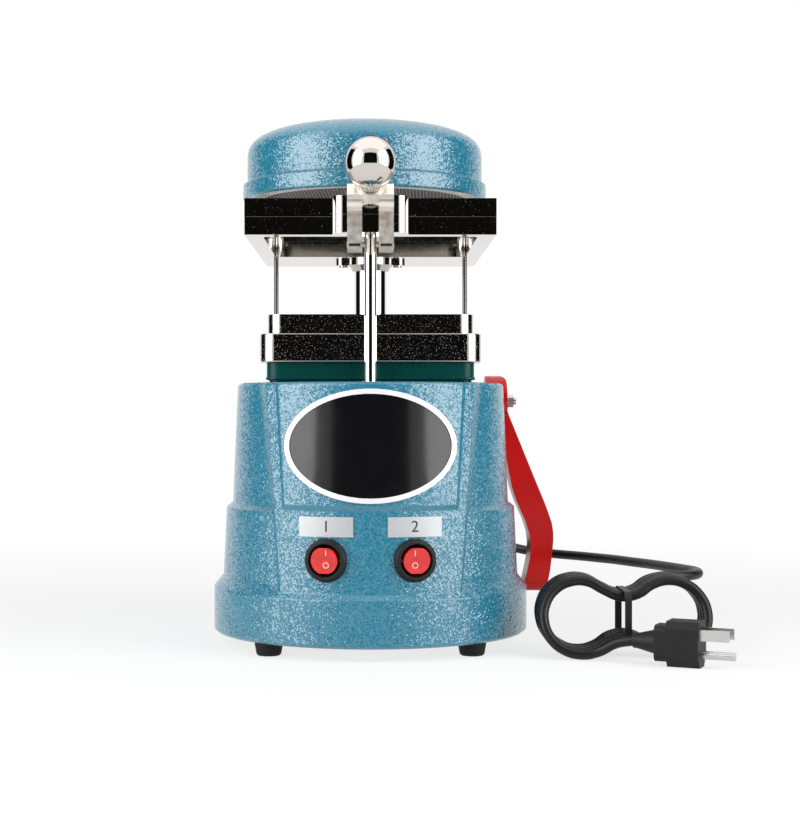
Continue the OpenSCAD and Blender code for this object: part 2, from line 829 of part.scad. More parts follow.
// Plan of a film frame with its front lug
module frame_shape(rear, corner) {
    difference() {
        union() {
            translate([-frame_half, -frame_half]) square([frame_w, frame_half + rear - corner]);
            translate([-frame_half + corner, 0]) square([frame_w - 2 * corner, rear]);
            for (x = [-1, 1])
                translate([x * (frame_half - corner), rear - corner]) circle(corner, $fn = 32);
            translate([-lug_half, -frame_half - lug_out + 8]) square([2 * lug_half, lug_out]);
            translate([-lug_half + 8, -frame_half - lug_out]) square([2 * lug_half - 16, lug_out]);
            for (x = [-1, 1])
                translate([x * (lug_half - 8), -frame_half - lug_out + 8]) circle(8, $fn = 40);
        }
        round_square(frame_open, frame_open, 6);
    }
}

module lower_frame() {
    color("#8d8a85") difference() {
        union() {
            translate([0, 0, frame_z]) linear_extrude(frame_t) frame_shape(frame_rear, 10);
            for (x = [-46, 46]) translate([x - 4, hinge_y - 4, frame_top - 1]) cube([8, 8, 6]);
            for (x = [-46, 46]) translate([x - 4, hinge_y, frame_top + 5])
                rotate([0, 90, 0]) cylinder(h = 8, r = 4);
        }
        translate([0, column_y, frame_z - 1]) cylinder(h = frame_t + 2, r = column_d / 2);
        translate([0, -rod_y, frame_z - 1]) cylinder(h = 8, r = rod_d / 2);
        for (x = [-thin_x, thin_x])
            translate([x, thin_y, frame_z - 1]) cylinder(h = 7, r = thin_d / 2);
        for (x = [-46, 46]) translate([x - 5, hinge_y, frame_top + 5])
            rotate([0, 90, 0]) cylinder(h = 10, r = 2, $fn = 32);
    }
}

// Turns what points along +Z from the origin onto the clamp screw's line, from its seat
module on_screw_line(t) {
    translate([0, seat_y, seat_z]) rotate([90 - screw_tilt, 0, 0]) translate([0, 0, t]) children();
}

module upper_frame() {
    color("#8d8a85") difference() {
        union() {
            translate([0, 0, frame_top]) linear_extrude(upper_t) frame_shape(frame_half, 2);
            for (x = [-40, 40]) translate([x - 2, hinge_y, frame_top + 5])
                rotate([0, 90, 0]) cylinder(h = 4, r = 4);
            for (x = [-40, 40]) translate([x - 2, frame_half - 1, frame_top + 1])
                cube([4, hinge_y - frame_half + 1, 8]);
        }
        on_screw_line(0) translate([-7, -20, 0]) cube([14, 40, 20]);
        for (x = [-40, 40]) translate([x - 3, hinge_y, frame_top + 5])
            rotate([0, 90, 0]) cylinder(h = 6, r = 2, $fn = 32);
    }
}

module hinge_pins() {
    color("silver") for (s = [-1, 1]) translate([s * 43.5, hinge_y, frame_top + 5])
        rotate([0, 90, 0]) cylinder(h = 13, r = 2, center = true, $fn = 32);
}

// The oval flange that ties the column to the frame's rear plate
module column_flange() {
    color("#8d8a85") difference() {
        union() {
            translate([0, column_y, frame_z - flange_t]) linear_extrude(flange_t) union() {
                circle(column_d / 2 + 4);
                for (x = [-flange_x, flange_x]) translate([x, 0]) circle(5.4, $fn = 40);
                translate([-flange_x, -5.4]) square([2 * flange_x, 10.8]);
            }
            translate([0, column_y, frame_z - 7]) rotate_extrude()
                polygon([[0, 0], [column_d / 2 + 1, 0], [column_d / 2 + 4, 5], [0, 5]]);
        }
        translate([0, column_y, frame_z - 10]) cylinder(h = 12, r = column_d / 2);
        for (x = [-flange_x, flange_x])
            translate([x, column_y, frame_z - 5]) cylinder(h = 6, r = 1.6, $fn = 24);
    }
}

module flange_screws() {
    color("silver") for (x = [-flange_x, flange_x])
        translate([x, column_y, frame_z - flange_t - 1.4]) {
            cylinder(h = 1.4, r = 3, $fn = 32);
            cylinder(h = 1.4 + flange_t, r = 1.6, $fn = 24);
        }
}

module head_stop() {
    color("#8d8a85") translate([0, column_y, frame_top]) difference() {
        cylinder(h = head_z - 1 - gap - frame_top, r = column_d / 2 + 5);
        translate([0, 0, -1]) cylinder(h = 30, r = column_d / 2);
        translate([column_d / 2 - 1, 0, 9]) rotate([0, 90, 0]) cylinder(h = 10, r = 2, $fn = 24);
    }
}

module clamp_yoke() {
    knuckle_z = seat_z + 0.6;
    knuckle_y = -bar_front - 1.6;
    color("#c4beb4") difference() {
        union() {
            for (s = [-1, 1]) translate([s > 0 ? bar_in : -bar_in - bar_w, 0, 0]) {
                translate([0, -bar_front, pin_z - eye_r]) cube([bar_w, 3.7, knuckle_z - pin_z + eye_r]);
                translate([0, -bar_front, pin_z - eye_r])
                    cube([bar_w, bar_front + pin_y, 2 * eye_r]);
                translate([0, pin_y, pin_z]) rotate([0, 90, 0]) cylinder(h = bar_w, r = eye_r);
                translate([0, knuckle_y, knuckle_z]) rotate([0, 90, 0]) cylinder(h = bar_w, r = 5.2);
            }
            on_screw_line(boss_low) cylinder(h = boss_high - boss_low, r = 8.2);
            on_screw_line(boss_low + 1) translate([-bar_in - bar_w, -7, 0])
                cube([2 * (bar_in + bar_w), 9, 5.5]);
        }
        for (s = [-1, 1]) translate([s * (bar_in + bar_w / 2), -bar_front - 1, pin_z - 2])
            cube([bar_w - 2, 5, 1.7], center = true);
        on_screw_line(-5) cylinder(h = 40, r = screw_r + run);
        translate([-20, pin_y, pin_z]) rotate([0, 90, 0]) cylinder(h = 40, r = 1.8 + run, $fn = 32);
    }
}

module clamp_pin() {
    color("silver") translate([-bar_in - bar_w - 0.6, pin_y, pin_z])
        rotate([0, 90, 0]) cylinder(h = 2 * (bar_in + bar_w + 0.6), r = 1.8, $fn = 32);
}

module clamp_tip() {
    color("#c9c4ba") difference() {
        on_screw_line(gap) rotate_extrude()
            polygon([[0, 0], [1.6, 0], [3.4, tip_len - 2], [3.4, tip_len], [0, tip_len]]);
        on_screw_line(3.5) cylinder(h = 5, r = 1.3 + run, $fn = 24);
    }
}

module clamp_screw() {
    color("#c9c4ba") {
        on_screw_line(3.8) cylinder(h = 8, r = 1.3, $fn = 24);
        on_screw_line(tip_len + 2 * gap) cylinder(h = 16, r = screw_r);
        difference() {
            on_screw_line(boss_high + gap) rotate_extrude() polygon([
                [0, 0], [6.5, 0], [7.5, 1], [8, 2.2], [collar_d / 2 - 3, 3],
                [collar_d / 2, skirt_h - 0.6], [collar_d / 2 - 0.4, skirt_h], [0, skirt_h]
            ]);
            on_screw_line(boss_high + gap + skirt_h - 4) cylinder(h = 5, r = collar_d / 2 - 3.5);
        }
    }
}

module ball_knob() {
    color("#dcd6ce") difference() {
        on_screw_line(boss_high + gap + skirt_h + 7.2) sphere(ball_d / 2);
        on_screw_line(0) cylinder(h = boss_high + gap + skirt_h, r = 40);
        on_screw_line(boss_high) cylinder(h = gap + skirt_h + 14, r = ball_d / 2 - 4.7);
    }
}

// Radius of the dome at a height above its straight wall, as a full, flat-topped curve
function dome_at(up, r, h) = r * pow(1 - pow(min(1, up / h), 2.9), 1 / 2.9);

// Half profile of the dome's curve from its wall to its middle
function dome_curve(r, z, h) = [for (i = [0:16]) let (up = h * sin(90 * i / 16))
    [i == 16 ? 0 : dome_at(up, r, h), z + up]];

// Turns the head about the column to its place at rest
module at_head() {
    translate([0, column_y, 0]) rotate([0, 0, head_turn]) translate([0, -column_y, 0]) children();
}

module heater_dome() {
    wall_top = head_z + head_band_h + dome_wall_h;
    rise = head_top - wall_top;
    color("#4e8eaa") at_head() difference() {
        rotate_extrude($fn = 120) polygon(concat([
            [0, head_z], [head_r - 1, head_z], [head_r, head_z + 1],
            [head_r, head_z + head_band_h - 1], [dome_r, head_z + head_band_h + 0.6]
        ], dome_curve(dome_r, wall_top, rise)));
        rotate_extrude($fn = 120) polygon(concat([
            [0, head_z - 1], [head_r - dome_t, head_z - 1], [head_r - dome_t, head_z + 4],
            [dome_r - dome_t, head_z + 4]
        ], dome_curve(dome_r - dome_t, wall_top - 1, rise - dome_t + 1)));
        star_stud(0.1);
        arm_bolts(0.2);
    }
}

// Stud of the star knob through the dome's front wall
module star_stud(more) {
    rotate([0, 0, star_turn]) translate([0, -dome_r - 10, head_z + star_up])
        rotate([-90, 0, 0]) cylinder(h = 16, r = 2.5 + more, $fn = 32);
}

// Two bolts that hold the arm on the dome's rear wall
module arm_bolts(more) {
    for (x = [-9, 9]) translate([x, dome_r - 8, head_z + 18]) rotate([-90, 0, 0])
        cylinder(h = 16, r = 2 + more, $fn = 24);
}

module head_arm() {
    low = head_z - 1;
    color("#4e8eaa") at_head() difference() {
        union() {
            translate([0, column_y, low]) cylinder(h = 29, r = column_d / 2 + 6);
            translate([-14, dome_r - 8, head_z + head_band_h + 1])
                cube([28, column_y - dome_r + 8, 17.4]);
        }
        translate([0, column_y, low - 1]) cylinder(h = 24.1, r = column_d / 2 + run);
        rotate_extrude($fn = 120) polygon([
            [0, low - 1], [dome_r, low - 1], [dome_r, low + 60], [0, low + 60]
        ]);
        arm_bolts(0);
    }
    color("silver") at_head() arm_bolts(0);
}

module head_ring() {
    color("#b9bcbf") at_head() translate([0, 0, head_z + 0.6]) difference() {
        cylinder(h = 3.4, r = head_r - dome_t);
        translate([0, 0, -1]) cylinder(h = 6, r = guard_r);
    }
}

module heater_plate() {
    color("#d9d4c8") at_head() difference() {
        translate([0, 0, head_z + 10]) cylinder(h = 8, r = guard_r - 1);
        for (r = [14:12:50]) translate([0, 0, head_z + 9]) difference() {
            cylinder(h = 4, r = r + 3);
            translate([0, 0, -1]) cylinder(h = 6, r = r - 3);
        }
    }
    color("#d9d4c8") at_head() difference() {
        translate([0, 0, head_z + 4]) cylinder(h = 6, r = guard_r + 6);
        translate([0, 0, head_z + 3]) cylinder(h = 8, r = guard_r - 3);
    }
}

module heating_coil() {
    color("#7a5a48") at_head() for (r = [14:12:50]) translate([0, 0, head_z + 11.4])
        rotate_extrude() translate([r, 0]) circle(1.5, $fn = 16);
}

module guard_mesh() {
    cell = 9.5;
    color("#6f6f6c") at_head() translate([0, 0, head_z + 1.4]) linear_extrude(1.2) union() {
        difference() {
            circle(guard_r);
            circle(guard_r - 2.4);
        }
        intersection() {
            circle(guard_r - 2);
            for (i = [-6:6]) translate([i * cell, 0]) {
                square([1.3, 2 * guard_r], center = true);
            }
        }
        intersection() {
            circle(guard_r - 2);
            for (i = [-6:6]) translate([0, i * cell]) {
                square([2 * guard_r, 1.3], center = true);
            }
        }
    }
}

module star_knob() {
    lobes = 8;
    color("#c8101c") at_head() rotate([0, 0, star_turn]) {
        translate([0, -dome_r - 5, head_z + star_up]) rotate([90, 0, 0]) linear_extrude(7) union() {
            circle(star_r - 1.6);
            for (i = [0:lobes - 1]) rotate(i * 360 / lobes)
                translate([star_r - 3.2, 0]) circle(3.2, $fn = 24);
        }
        translate([0, -dome_r - 5, head_z + star_up]) rotate([-90, 0, 0]) cylinder(h = 5, r = 6);
    }
    color("silver") at_head() star_stud(0);
}

// Where the cord's relief leaves the casting, with its line along +X
module at_exit() {
    r = mid_top_r + (tier_z - cord_exit_z) * (mid_r - mid_top_r) / (tier_z - mid_z);
    translate([0, base_stretch, cord_exit_z]) rotate([0, 0, exit_turn]) translate([r, 0, 0])
        rotate([0, 90, 0]) children();
}

module relief_hole() {
    at_exit() translate([0, 0, -20]) cylinder(h = 30, r = 6.4);
}

module cord_relief() {
    color("#151515") at_exit() difference() {
        union() {
            translate([0, 0, -8]) cylinder(h = 10, r = 6.4);
            rotate_extrude() polygon([
                [0, 1], [7.4, 1], [7.4, 2.4], [6.4, 3.4], [5.4, 6], [4.1, relief_l], [0, relief_l]
            ]);
        }
        translate([0, 0, -9]) cylinder(h = 44, r = cord_d / 2);
    }
}

// Unit vector and cross product helpers for the cord's sweep
function unit(v) = v / norm(v);

// A point of a smooth curve through four points, at a share of the middle span
function catmull(a, b, c, d, s) =
    0.5 * (2 * b + (c - a) * s + (2 * a - 5 * b + 4 * c - d) * s * s
    + (3 * b - a - 3 * c + d) * s * s * s);

// The smooth curve through a route, with k points in each span
function smooth(p, k) = let (n = len(p)) concat([
    for (i = [0:n - 2]) for (j = [0:k - 1])
        catmull(p[max(0, i - 1)], p[i], p[i + 1], p[min(n - 1, i + 2)], j / k)
], [p[n - 1]]);

// Rings of a swept tube, with the first and last square to a given direction
function ring(c, dir, r, sides) =
    let (up = abs(dir[2]) > 0.9 ? [0, 1, 0] : [0, 0, 1], a = unit(cross(up, dir)), b = cross(dir, a))
    [for (i = [0:sides - 1]) c + r * (a * cos(360 * i / sides) + b * sin(360 * i / sides))];

// A tube swept along points, closed at both ends
module tube(p, r, sides, first, last) {
    n = len(p);
    rings = [for (i = [0:n - 1])
        let (dir = i == 0 ? first : i == n - 1 ? last : unit(p[i + 1] - p[i - 1]))
        each ring(p[i], dir, r, sides)];
    walls = [for (i = [0:n - 2]) for (j = [0:sides - 1])
        let (a = i * sides + j, b = i * sides + (j + 1) % sides)
        each [[a, b, b + sides], [a, b + sides, a + sides]]];
    near = [for (j = [1:sides - 2]) [0, j + 1, j]];
    far = [for (j = [1:sides - 2]) let (o = (n - 1) * sides) [o, o + j, o + j + 1]];
    polyhedron(concat(rings), concat(walls, near, far));
}

// Point on a quarter of a loop, from the end of its lobe to its neck, at a length along it
function quarter_at(s) = s < lobe_run
    ? [lobe_x + lobe_r * cos(s / lobe_r), lobe_r * sin(s / lobe_r)]
    : let (a = neck_turn - (s - lobe_run) / neck_r) [neck_r * sin(a), neck_z - neck_r * cos(a)];

// Point of a loop at an angle round it, as length and height
function loop_at(t) =
    let (k = floor(t / 90) % 4, u = (t % 90) / 90, p = quarter_at(quarter_run * (k % 2 == 0 ? u : 1 - u)))
    [k == 1 || k == 2 ? -p[0] : p[0], k < 2 ? p[1] : -p[1]];

// Point of the hank at an angle from its start, on loops that climb forwards at a steady rate
function hank_point(t) = let (p = loop_at(hank_from + t)) hank_at + [
    p[0], p[1] * sin(hank_lean) - hank_step * (t / 360 - hank_turns / 2), p[1] * cos(hank_lean)
];
hank_points = [for (i = [0:hank_turns * hank_rings]) hank_point(360 * i / hank_rings)];
hank_start = unit([-1, -0.03, 0]);
hank_end = unit([1, -0.03, 0]);

// Lead from the hank's last ring into the tail, and from the free cord into its first
hank_first = hank_points[0];
hank_last = hank_points[len(hank_points) - 1];

// Least gap of the hank to itself, between points more than half a turn apart
hank_gap = min([
    for (i = [0:len(hank_points) - 1]) for (j = [i + 12:len(hank_points) - 1])
        norm(hank_points[i] - hank_points[j]) - cord_d
]);
echo(hank_gap = hank_gap);

// Length of a curve along its points
function length_of(p) = len(p) < 2 ? 0 : sum_steps(p, 0, 0);
function sum_steps(p, i, s) = i >= len(p) - 1 ? s : sum_steps(p, i + 1, s + norm(p[i + 1] - p[i]));

free_points = smooth(concat([relief_end], cord_route, [hank_first]), 2);
tail_points = smooth(concat([hank_last], tail_route, [plug_start]), 2);
echo(cord_length = length_of(free_points) + length_of(hank_points) + length_of(tail_points) + relief_l);

module mains_cord() {
    color("#1a1a1a") tube(free_points, cord_d / 2, 10, exit_dir, hank_start);
}

module cord_hank() {
    color("#1a1a1a") tube(hank_points, cord_d / 2, 6, hank_start, hank_end);
}

module cord_tail() {
    color("#1a1a1a") tube(tail_points, cord_d / 2, 10, hank_end, plug_dir);
}

// The tie: a thin band round the hank's waist
module cord_tie() {
    deep = hank_step * hank_turns + cord_d + 6;
    high = 2 * (neck_z - neck_r) * cos(hank_lean) + cord_d - 0.3;
    color("#101010") translate(hank_at) rotate([90, 0, 90])
        translate([-1, 0, -2]) linear_extrude(4) difference() {
            round_square(deep + 2.4, high + 2.4, 6);
            round_square(deep, high, 5);
        }
}

// Places what lies along +X at the start of the plug
module at_plug() {
    translate(plug_start) rotate([0, 0, plug_turn]) children();
}

module plug_body() {
    color("#1c1c1c") at_plug() difference() {
        union() {
            rotate([0, 90, 0]) rotate_extrude() polygon([
                [0, 0], [4.2, 0], [4.6, 3], [7.6, boot_l], [0, boot_l]
            ]);
            translate([boot_l - 1, 0, 0]) rotate([90, 0, 90]) linear_extrude(8)
                round_square(17, 21, 4);
            translate([boot_l + 6, 0, 0]) rotate([90, 0, 90]) linear_extrude(plug_l - 6)
                polygon([
                    [-10, -6], [-5, -13.2], [5, -13.2], [10, -6], [10, 9], [7, 13.2],
                    [-7, 13.2], [-10, 9]
                ]);
        }
        translate([boot_l + plug_l, 0, 0]) plug_prongs(4);
    }
}

// Two flat blades and a round earth pin, sunk a little into the plug's face
module plug_prongs(deep) {
    for (y = [-6.35, 6.35]) translate([-deep, y - 0.75, 2.8]) cube([deep + 17, 1.5, 6.3]);
    translate([-deep, 0, -5.95]) rotate([0, 90, 0]) cylinder(h = deep + 19, r = 2.4, $fn = 32);
}

module plug_pins() {
    color("#cfc9ba") at_plug() translate([boot_l + plug_l, 0, 0]) plug_prongs(4);
}

base_housing();
bottom_plate();
bottom_screws();
rubber_feet();
badge_plate();
badge_rim();
label_left();
label_right();
bezel_left();
bezel_right();
rocker_left();
rocker_right();
lift_lever();
lever_shaft();
lever_nut();
sector_gear();
shaft_bracket();
shaft_bushes();
table_base();
table_top();
table_seal();
lift_post();
lift_rack();
post_guide();
vacuum_pipe();
vacuum_motor();
motor_mount();
rear_column();
front_rod();
rear_rods();
lower_frame();
upper_frame();
hinge_pins();
column_flange();
flange_screws();
head_stop();
clamp_yoke();
clamp_pin();
clamp_tip();
clamp_screw();
ball_knob();
heater_dome();
head_arm();
head_ring();
heater_plate();
heating_coil();
guard_mesh();
star_knob();
cord_relief();
mains_cord();
cord_hank();
cord_tail();
cord_tie();
plug_body();
plug_pins();
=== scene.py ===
"""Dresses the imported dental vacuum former: finishes, cord, small trim, stage and camera."""

import math
from functools import partial

import bmesh
import bpy
from mathutils import Matrix, Vector
from mathutils.bvhtree import BVHTree


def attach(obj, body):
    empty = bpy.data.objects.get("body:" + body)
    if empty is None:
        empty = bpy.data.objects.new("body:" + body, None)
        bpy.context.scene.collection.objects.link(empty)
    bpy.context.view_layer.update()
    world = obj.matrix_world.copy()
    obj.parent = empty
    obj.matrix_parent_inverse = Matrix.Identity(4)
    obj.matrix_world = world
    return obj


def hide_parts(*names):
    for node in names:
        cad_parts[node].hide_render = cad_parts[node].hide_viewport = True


bl_info = {
    "name": "Dental vacuum former",
    "version": (1, 0, 0),
    "blender": (4, 5, 0),
    "location": "View3D > Sidebar > Vacuum former",
    "description": "Builds the finishes, cord and trim of a dental vacuum former",
    "category": "Object",
}

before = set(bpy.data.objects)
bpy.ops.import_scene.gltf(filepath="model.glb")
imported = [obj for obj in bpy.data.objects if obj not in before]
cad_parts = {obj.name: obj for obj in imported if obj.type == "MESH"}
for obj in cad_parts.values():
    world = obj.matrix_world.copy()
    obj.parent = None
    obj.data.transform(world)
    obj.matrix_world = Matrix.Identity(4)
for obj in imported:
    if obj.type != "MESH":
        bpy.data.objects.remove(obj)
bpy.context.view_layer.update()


# Fixed places and sizes: metres, degrees and watts, unless a comment says otherwise

# Sensor and lens in millimetres, shift in widths of the frame
SENSOR_WIDTH = 36.0
PHOTO_LENS = 70.1
PHOTO_SHIFT = (0.0357, -0.0042)

# Name, place, size and power of each soft box
SOFTBOXES = (
    ("left_softbox", (-0.85, -0.62, 0.56), (0.82, 1.05), 11.5),
    ("right_softbox", (0.85, -0.62, 0.56), (0.82, 1.05), 11.5),
    ("top_softbox", (0.0, 0.0, 1.5), (2.2, 1.8), 6.0),
)
# Name, start and end on the floor, and height of each black card
CARDS = (
    ("front_card", (-0.8, -1.5), (0.8, -1.5), 1.3),
    ("left_card", (-0.95, -0.06), (-0.95, 0.75), 1.1),
    ("right_card", (0.95, -0.06), (0.95, 0.75), 1.1),
)
WORLD_LIGHT = 0.36
FLOOR_REACH = 40.0

# Printed marks on the label plates and the rockers
SWITCH_X = 0.026
SWITCH_Z = 0.0593
LABEL_Z = 0.0787
NUMERAL_SIZE = 0.0095
MARK_LINE = 0.0003
BAR_HALF = 0.0016
BAR_RISE = 0.0046
RING_DROP = -0.0026
RING_RADII = (0.0013, 0.0018)
PRINT_LIFT = 0.00006

# Guard under the head, which stands turned a little round the column
COLUMN_Y = 0.103
HEAD_TURN = -2.1
WEAVE_RADIUS = 0.0642
WEAVE_LEVELS = (0.2816, 0.2822)
RIM_RADIUS = 0.0643
RIM_LEVEL = 0.2819
RIM_WIRE = 0.0012

# Painted shade in the slots: a thin black box at the slot of the right bar of the clamp, mirrored
# for the left one
SLOT_SHADE_SIZE = (0.0065, 0.0004, 0.0015)
SLOT_SHADE_PLACE = (0.00925, -0.0909, 0.2435)

# Clamp screw's foot and tilt; the skirt and its knurl are in millimetres along the screw
SCREW_SEAT = (0.0, -0.0865, 0.268)
SCREW_TILT = 40.0
# Height up the skirt, and how far the ribs stand proud, for each ring of the knurl
KNURL_RINGS = ((5.6, -0.05), (5.9, 0.22), (9.3, 0.22), (9.5, -0.05))
KNURL_SUNK = 0.05
SKIRT_START = 14.8
SKIRT_RADIUS = 9.5
SKIRT_FLARE = (3.0, 3.0 / 6.6)

# Rounding of the painted castings' edges and of the lever's
PAINT_EDGE = 0.0012
LEVER_EDGE = 0.0026


# Settings


class FormerStageSettings(bpy.types.PropertyGroup):
    camera_distance: bpy.props.FloatProperty(
        name="Camera distance",
        description="From the camera to the middle of the vacuum table",
        default=1.032, min=0.3, max=5.0, unit="LENGTH")
    camera_height: bpy.props.FloatProperty(
        name="Camera height",
        description="Height of the level camera above the floor",
        default=0.147, min=0.0, max=2.0, unit="LENGTH")
    floor_colour: bpy.props.FloatVectorProperty(
        name="Floor colour",
        description="Colour of the floor under the machine",
        default=(0.9, 0.9, 0.9), min=0.0, max=1.0, size=3, subtype="COLOR")


class FormerFinishSettings(bpy.types.PropertyGroup):
    paint_colour: bpy.props.FloatVectorProperty(
        name="Hammered paint",
        description="Middle colour of the hammered paint on the base and the head",
        default=(0.008, 0.175, 0.27), min=0.0, max=1.0, size=3, subtype="COLOR")
    paint_grain: bpy.props.FloatProperty(
        name="Paint grain",
        description="Number of flakes along one metre",
        default=1350.0, min=100.0, max=2000.0)
    paint_lean: bpy.props.FloatProperty(
        name="Flake lean",
        description="How far the flakes lean out of the surface",
        default=0.42, min=0.0, max=1.5)
    seal_colour: bpy.props.FloatVectorProperty(
        name="Seal block",
        description="Colour of the block under the vacuum table",
        default=(0.0006, 0.052, 0.046), min=0.0, max=1.0, size=3, subtype="COLOR")
    lever_colour: bpy.props.FloatVectorProperty(
        name="Lever enamel",
        description="Colour of the lift lever",
        default=(0.66, 0.001, 0.001), min=0.0, max=1.0, size=3, subtype="COLOR")
    edge_round: bpy.props.FloatProperty(
        name="Edge rounding",
        description="Radius of the small rounding on the metal frames and the table",
        default=0.0009, min=0.0001, max=0.003, unit="LENGTH")


class FormerCordSettings(bpy.types.PropertyGroup):
    cord_width: bpy.props.FloatProperty(
        name="Cord diameter",
        description="Diameter of the round mains cord",
        default=0.0064, min=0.004, max=0.008, unit="LENGTH")
    loop_points: bpy.props.IntProperty(
        name="Points in a loop",
        description="Number of points along each loop of the hank",
        default=24, min=16, max=48)


class FormerTrimSettings(bpy.types.PropertyGroup):
    weave_pitch: bpy.props.FloatProperty(
        name="Guard pitch",
        description="Distance from one wire of the guard to the next",
        default=0.0021, min=0.001, max=0.01, precision=4, unit="LENGTH")
    wire_width: bpy.props.FloatProperty(
        name="Guard wire",
        description="Diameter of the guard's wires",
        default=0.0006, min=0.0002, max=0.002, precision=4, unit="LENGTH")
    knurl_ribs: bpy.props.IntProperty(
        name="Knurl ribs",
        description="Number of ribs round the clamp screw's skirt",
        default=72, min=24, max=120)


# Nodes of a finish


def new_finish(name, colour, roughness, metallic=0.0, coat=0.0, coat_roughness=0.05):
    """A new material whose even values sit on the shader's own sockets."""
    finish = bpy.data.materials.new(name)
    finish.use_nodes = True
    shader = finish.node_tree.nodes["Principled BSDF"]
    shader.inputs["Base Color"].default_value = (*colour, 1.0)
    shader.inputs["Roughness"].default_value = roughness
    shader.inputs["Metallic"].default_value = metallic
    shader.inputs["Coat Weight"].default_value = coat
    shader.inputs["Coat Roughness"].default_value = coat_roughness
    return finish, shader


def cloud_pattern(finish, scale, stretch=(1.0, 1.0, 1.0), detail=3.0):
    """Procedural clouds on the piece's own place, as the socket that gives them."""
    nodes, links = finish.node_tree.nodes, finish.node_tree.links
    place = nodes.new("ShaderNodeTexCoord")
    mapping = nodes.new("ShaderNodeMapping")
    mapping.inputs["Scale"].default_value = stretch
    links.new(place.outputs["Object"], mapping.inputs["Vector"])
    clouds = nodes.new("ShaderNodeTexNoise")
    clouds.inputs["Scale"].default_value = scale
    clouds.inputs["Detail"].default_value = detail
    links.new(mapping.outputs["Vector"], clouds.inputs["Vector"])
    return clouds.outputs["Fac"]


def vary_colour(finish, shader, pattern, stops):
    """Runs the colour through stops of (place, colour) along a pattern."""
    ramp = finish.node_tree.nodes.new("ShaderNodeValToRGB")
    ramp.color_ramp.elements[0].position = stops[0][0]
    ramp.color_ramp.elements[0].color = (*stops[0][1], 1.0)
    ramp.color_ramp.elements[1].position = stops[-1][0]
    ramp.color_ramp.elements[1].color = (*stops[-1][1], 1.0)
    for place, colour in stops[1:-1]:
        ramp.color_ramp.elements.new(place).color = (*colour, 1.0)
    finish.node_tree.links.new(pattern, ramp.inputs["Fac"])
    finish.node_tree.links.new(ramp.outputs["Color"], shader.inputs["Base Color"])


def vary_roughness(finish, shader, pattern, low, high):
    """Runs the roughness from low to high along a pattern."""
    spread = finish.node_tree.nodes.new("ShaderNodeMapRange")
    spread.inputs["From Min"].default_value = 0.3
    spread.inputs["From Max"].default_value = 0.7
    spread.inputs["To Min"].default_value = low
    spread.inputs["To Max"].default_value = high
    finish.node_tree.links.new(pattern, spread.inputs["Value"])
    finish.node_tree.links.new(spread.outputs["Result"], shader.inputs["Roughness"])


def add_relief(finish, shader, pattern, strength, depth):
    """Adds a bump from a pattern."""
    bump = finish.node_tree.nodes.new("ShaderNodeBump")
    bump.inputs["Strength"].default_value = strength
    bump.inputs["Distance"].default_value = depth
    finish.node_tree.links.new(pattern, bump.inputs["Height"])
    finish.node_tree.links.new(bump.outputs["Normal"], shader.inputs["Normal"])
    return bump


# Finishes


def flake_normal(finish, grain, lean, under):
    """A normal that leans its own way in every small cell, on top of another normal."""
    nodes, links = finish.node_tree.nodes, finish.node_tree.links
    place = nodes.new("ShaderNodeTexCoord")
    flakes = nodes.new("ShaderNodeTexVoronoi")
    flakes.inputs["Scale"].default_value = grain
    links.new(place.outputs["Object"], flakes.inputs["Vector"])
    centred = nodes.new("ShaderNodeVectorMath")
    centred.operation = "SUBTRACT"
    centred.inputs[1].default_value = (0.5, 0.5, 0.5)
    links.new(flakes.outputs["Color"], centred.inputs[0])
    scaled = nodes.new("ShaderNodeVectorMath")
    scaled.operation = "SCALE"
    scaled.inputs["Scale"].default_value = lean
    links.new(centred.outputs["Vector"], scaled.inputs[0])
    leaning = nodes.new("ShaderNodeVectorMath")
    leaning.operation = "ADD"
    links.new(under.outputs["Normal"], leaning.inputs[0])
    links.new(scaled.outputs["Vector"], leaning.inputs[1])
    unit = nodes.new("ShaderNodeVectorMath")
    unit.operation = "NORMALIZE"
    links.new(leaning.outputs["Vector"], unit.inputs[0])
    return unit.outputs["Vector"]


def hammered_paint(colour, grain, lean):
    """Hammered paint: fine flakes that break the highlights into specks, over rounded edges."""
    finish, shader = new_finish("hammered_paint", colour, 0.45, 0.0, 1.0, 0.12)
    shader.inputs["Coat IOR"].default_value = 1.75
    shader.inputs["Specular IOR Level"].default_value = 0.2
    clouds = cloud_pattern(finish, grain * 0.9, detail=1.0)
    dark = tuple(c * 0.84 for c in colour)
    pale = tuple(min(1.0, c * 1.1 + 0.012) for c in colour)
    vary_colour(finish, shader, clouds, [(0.35, dark), (0.5, colour), (0.68, pale)])
    edges = finish.node_tree.nodes.new("ShaderNodeBevel")
    edges.samples = 4
    edges.inputs["Radius"].default_value = PAINT_EDGE
    leaning = flake_normal(finish, grain, lean, edges)
    finish.node_tree.links.new(leaning, shader.inputs["Coat Normal"])
    finish.node_tree.links.new(edges.outputs["Normal"], shader.inputs["Normal"])
    return finish


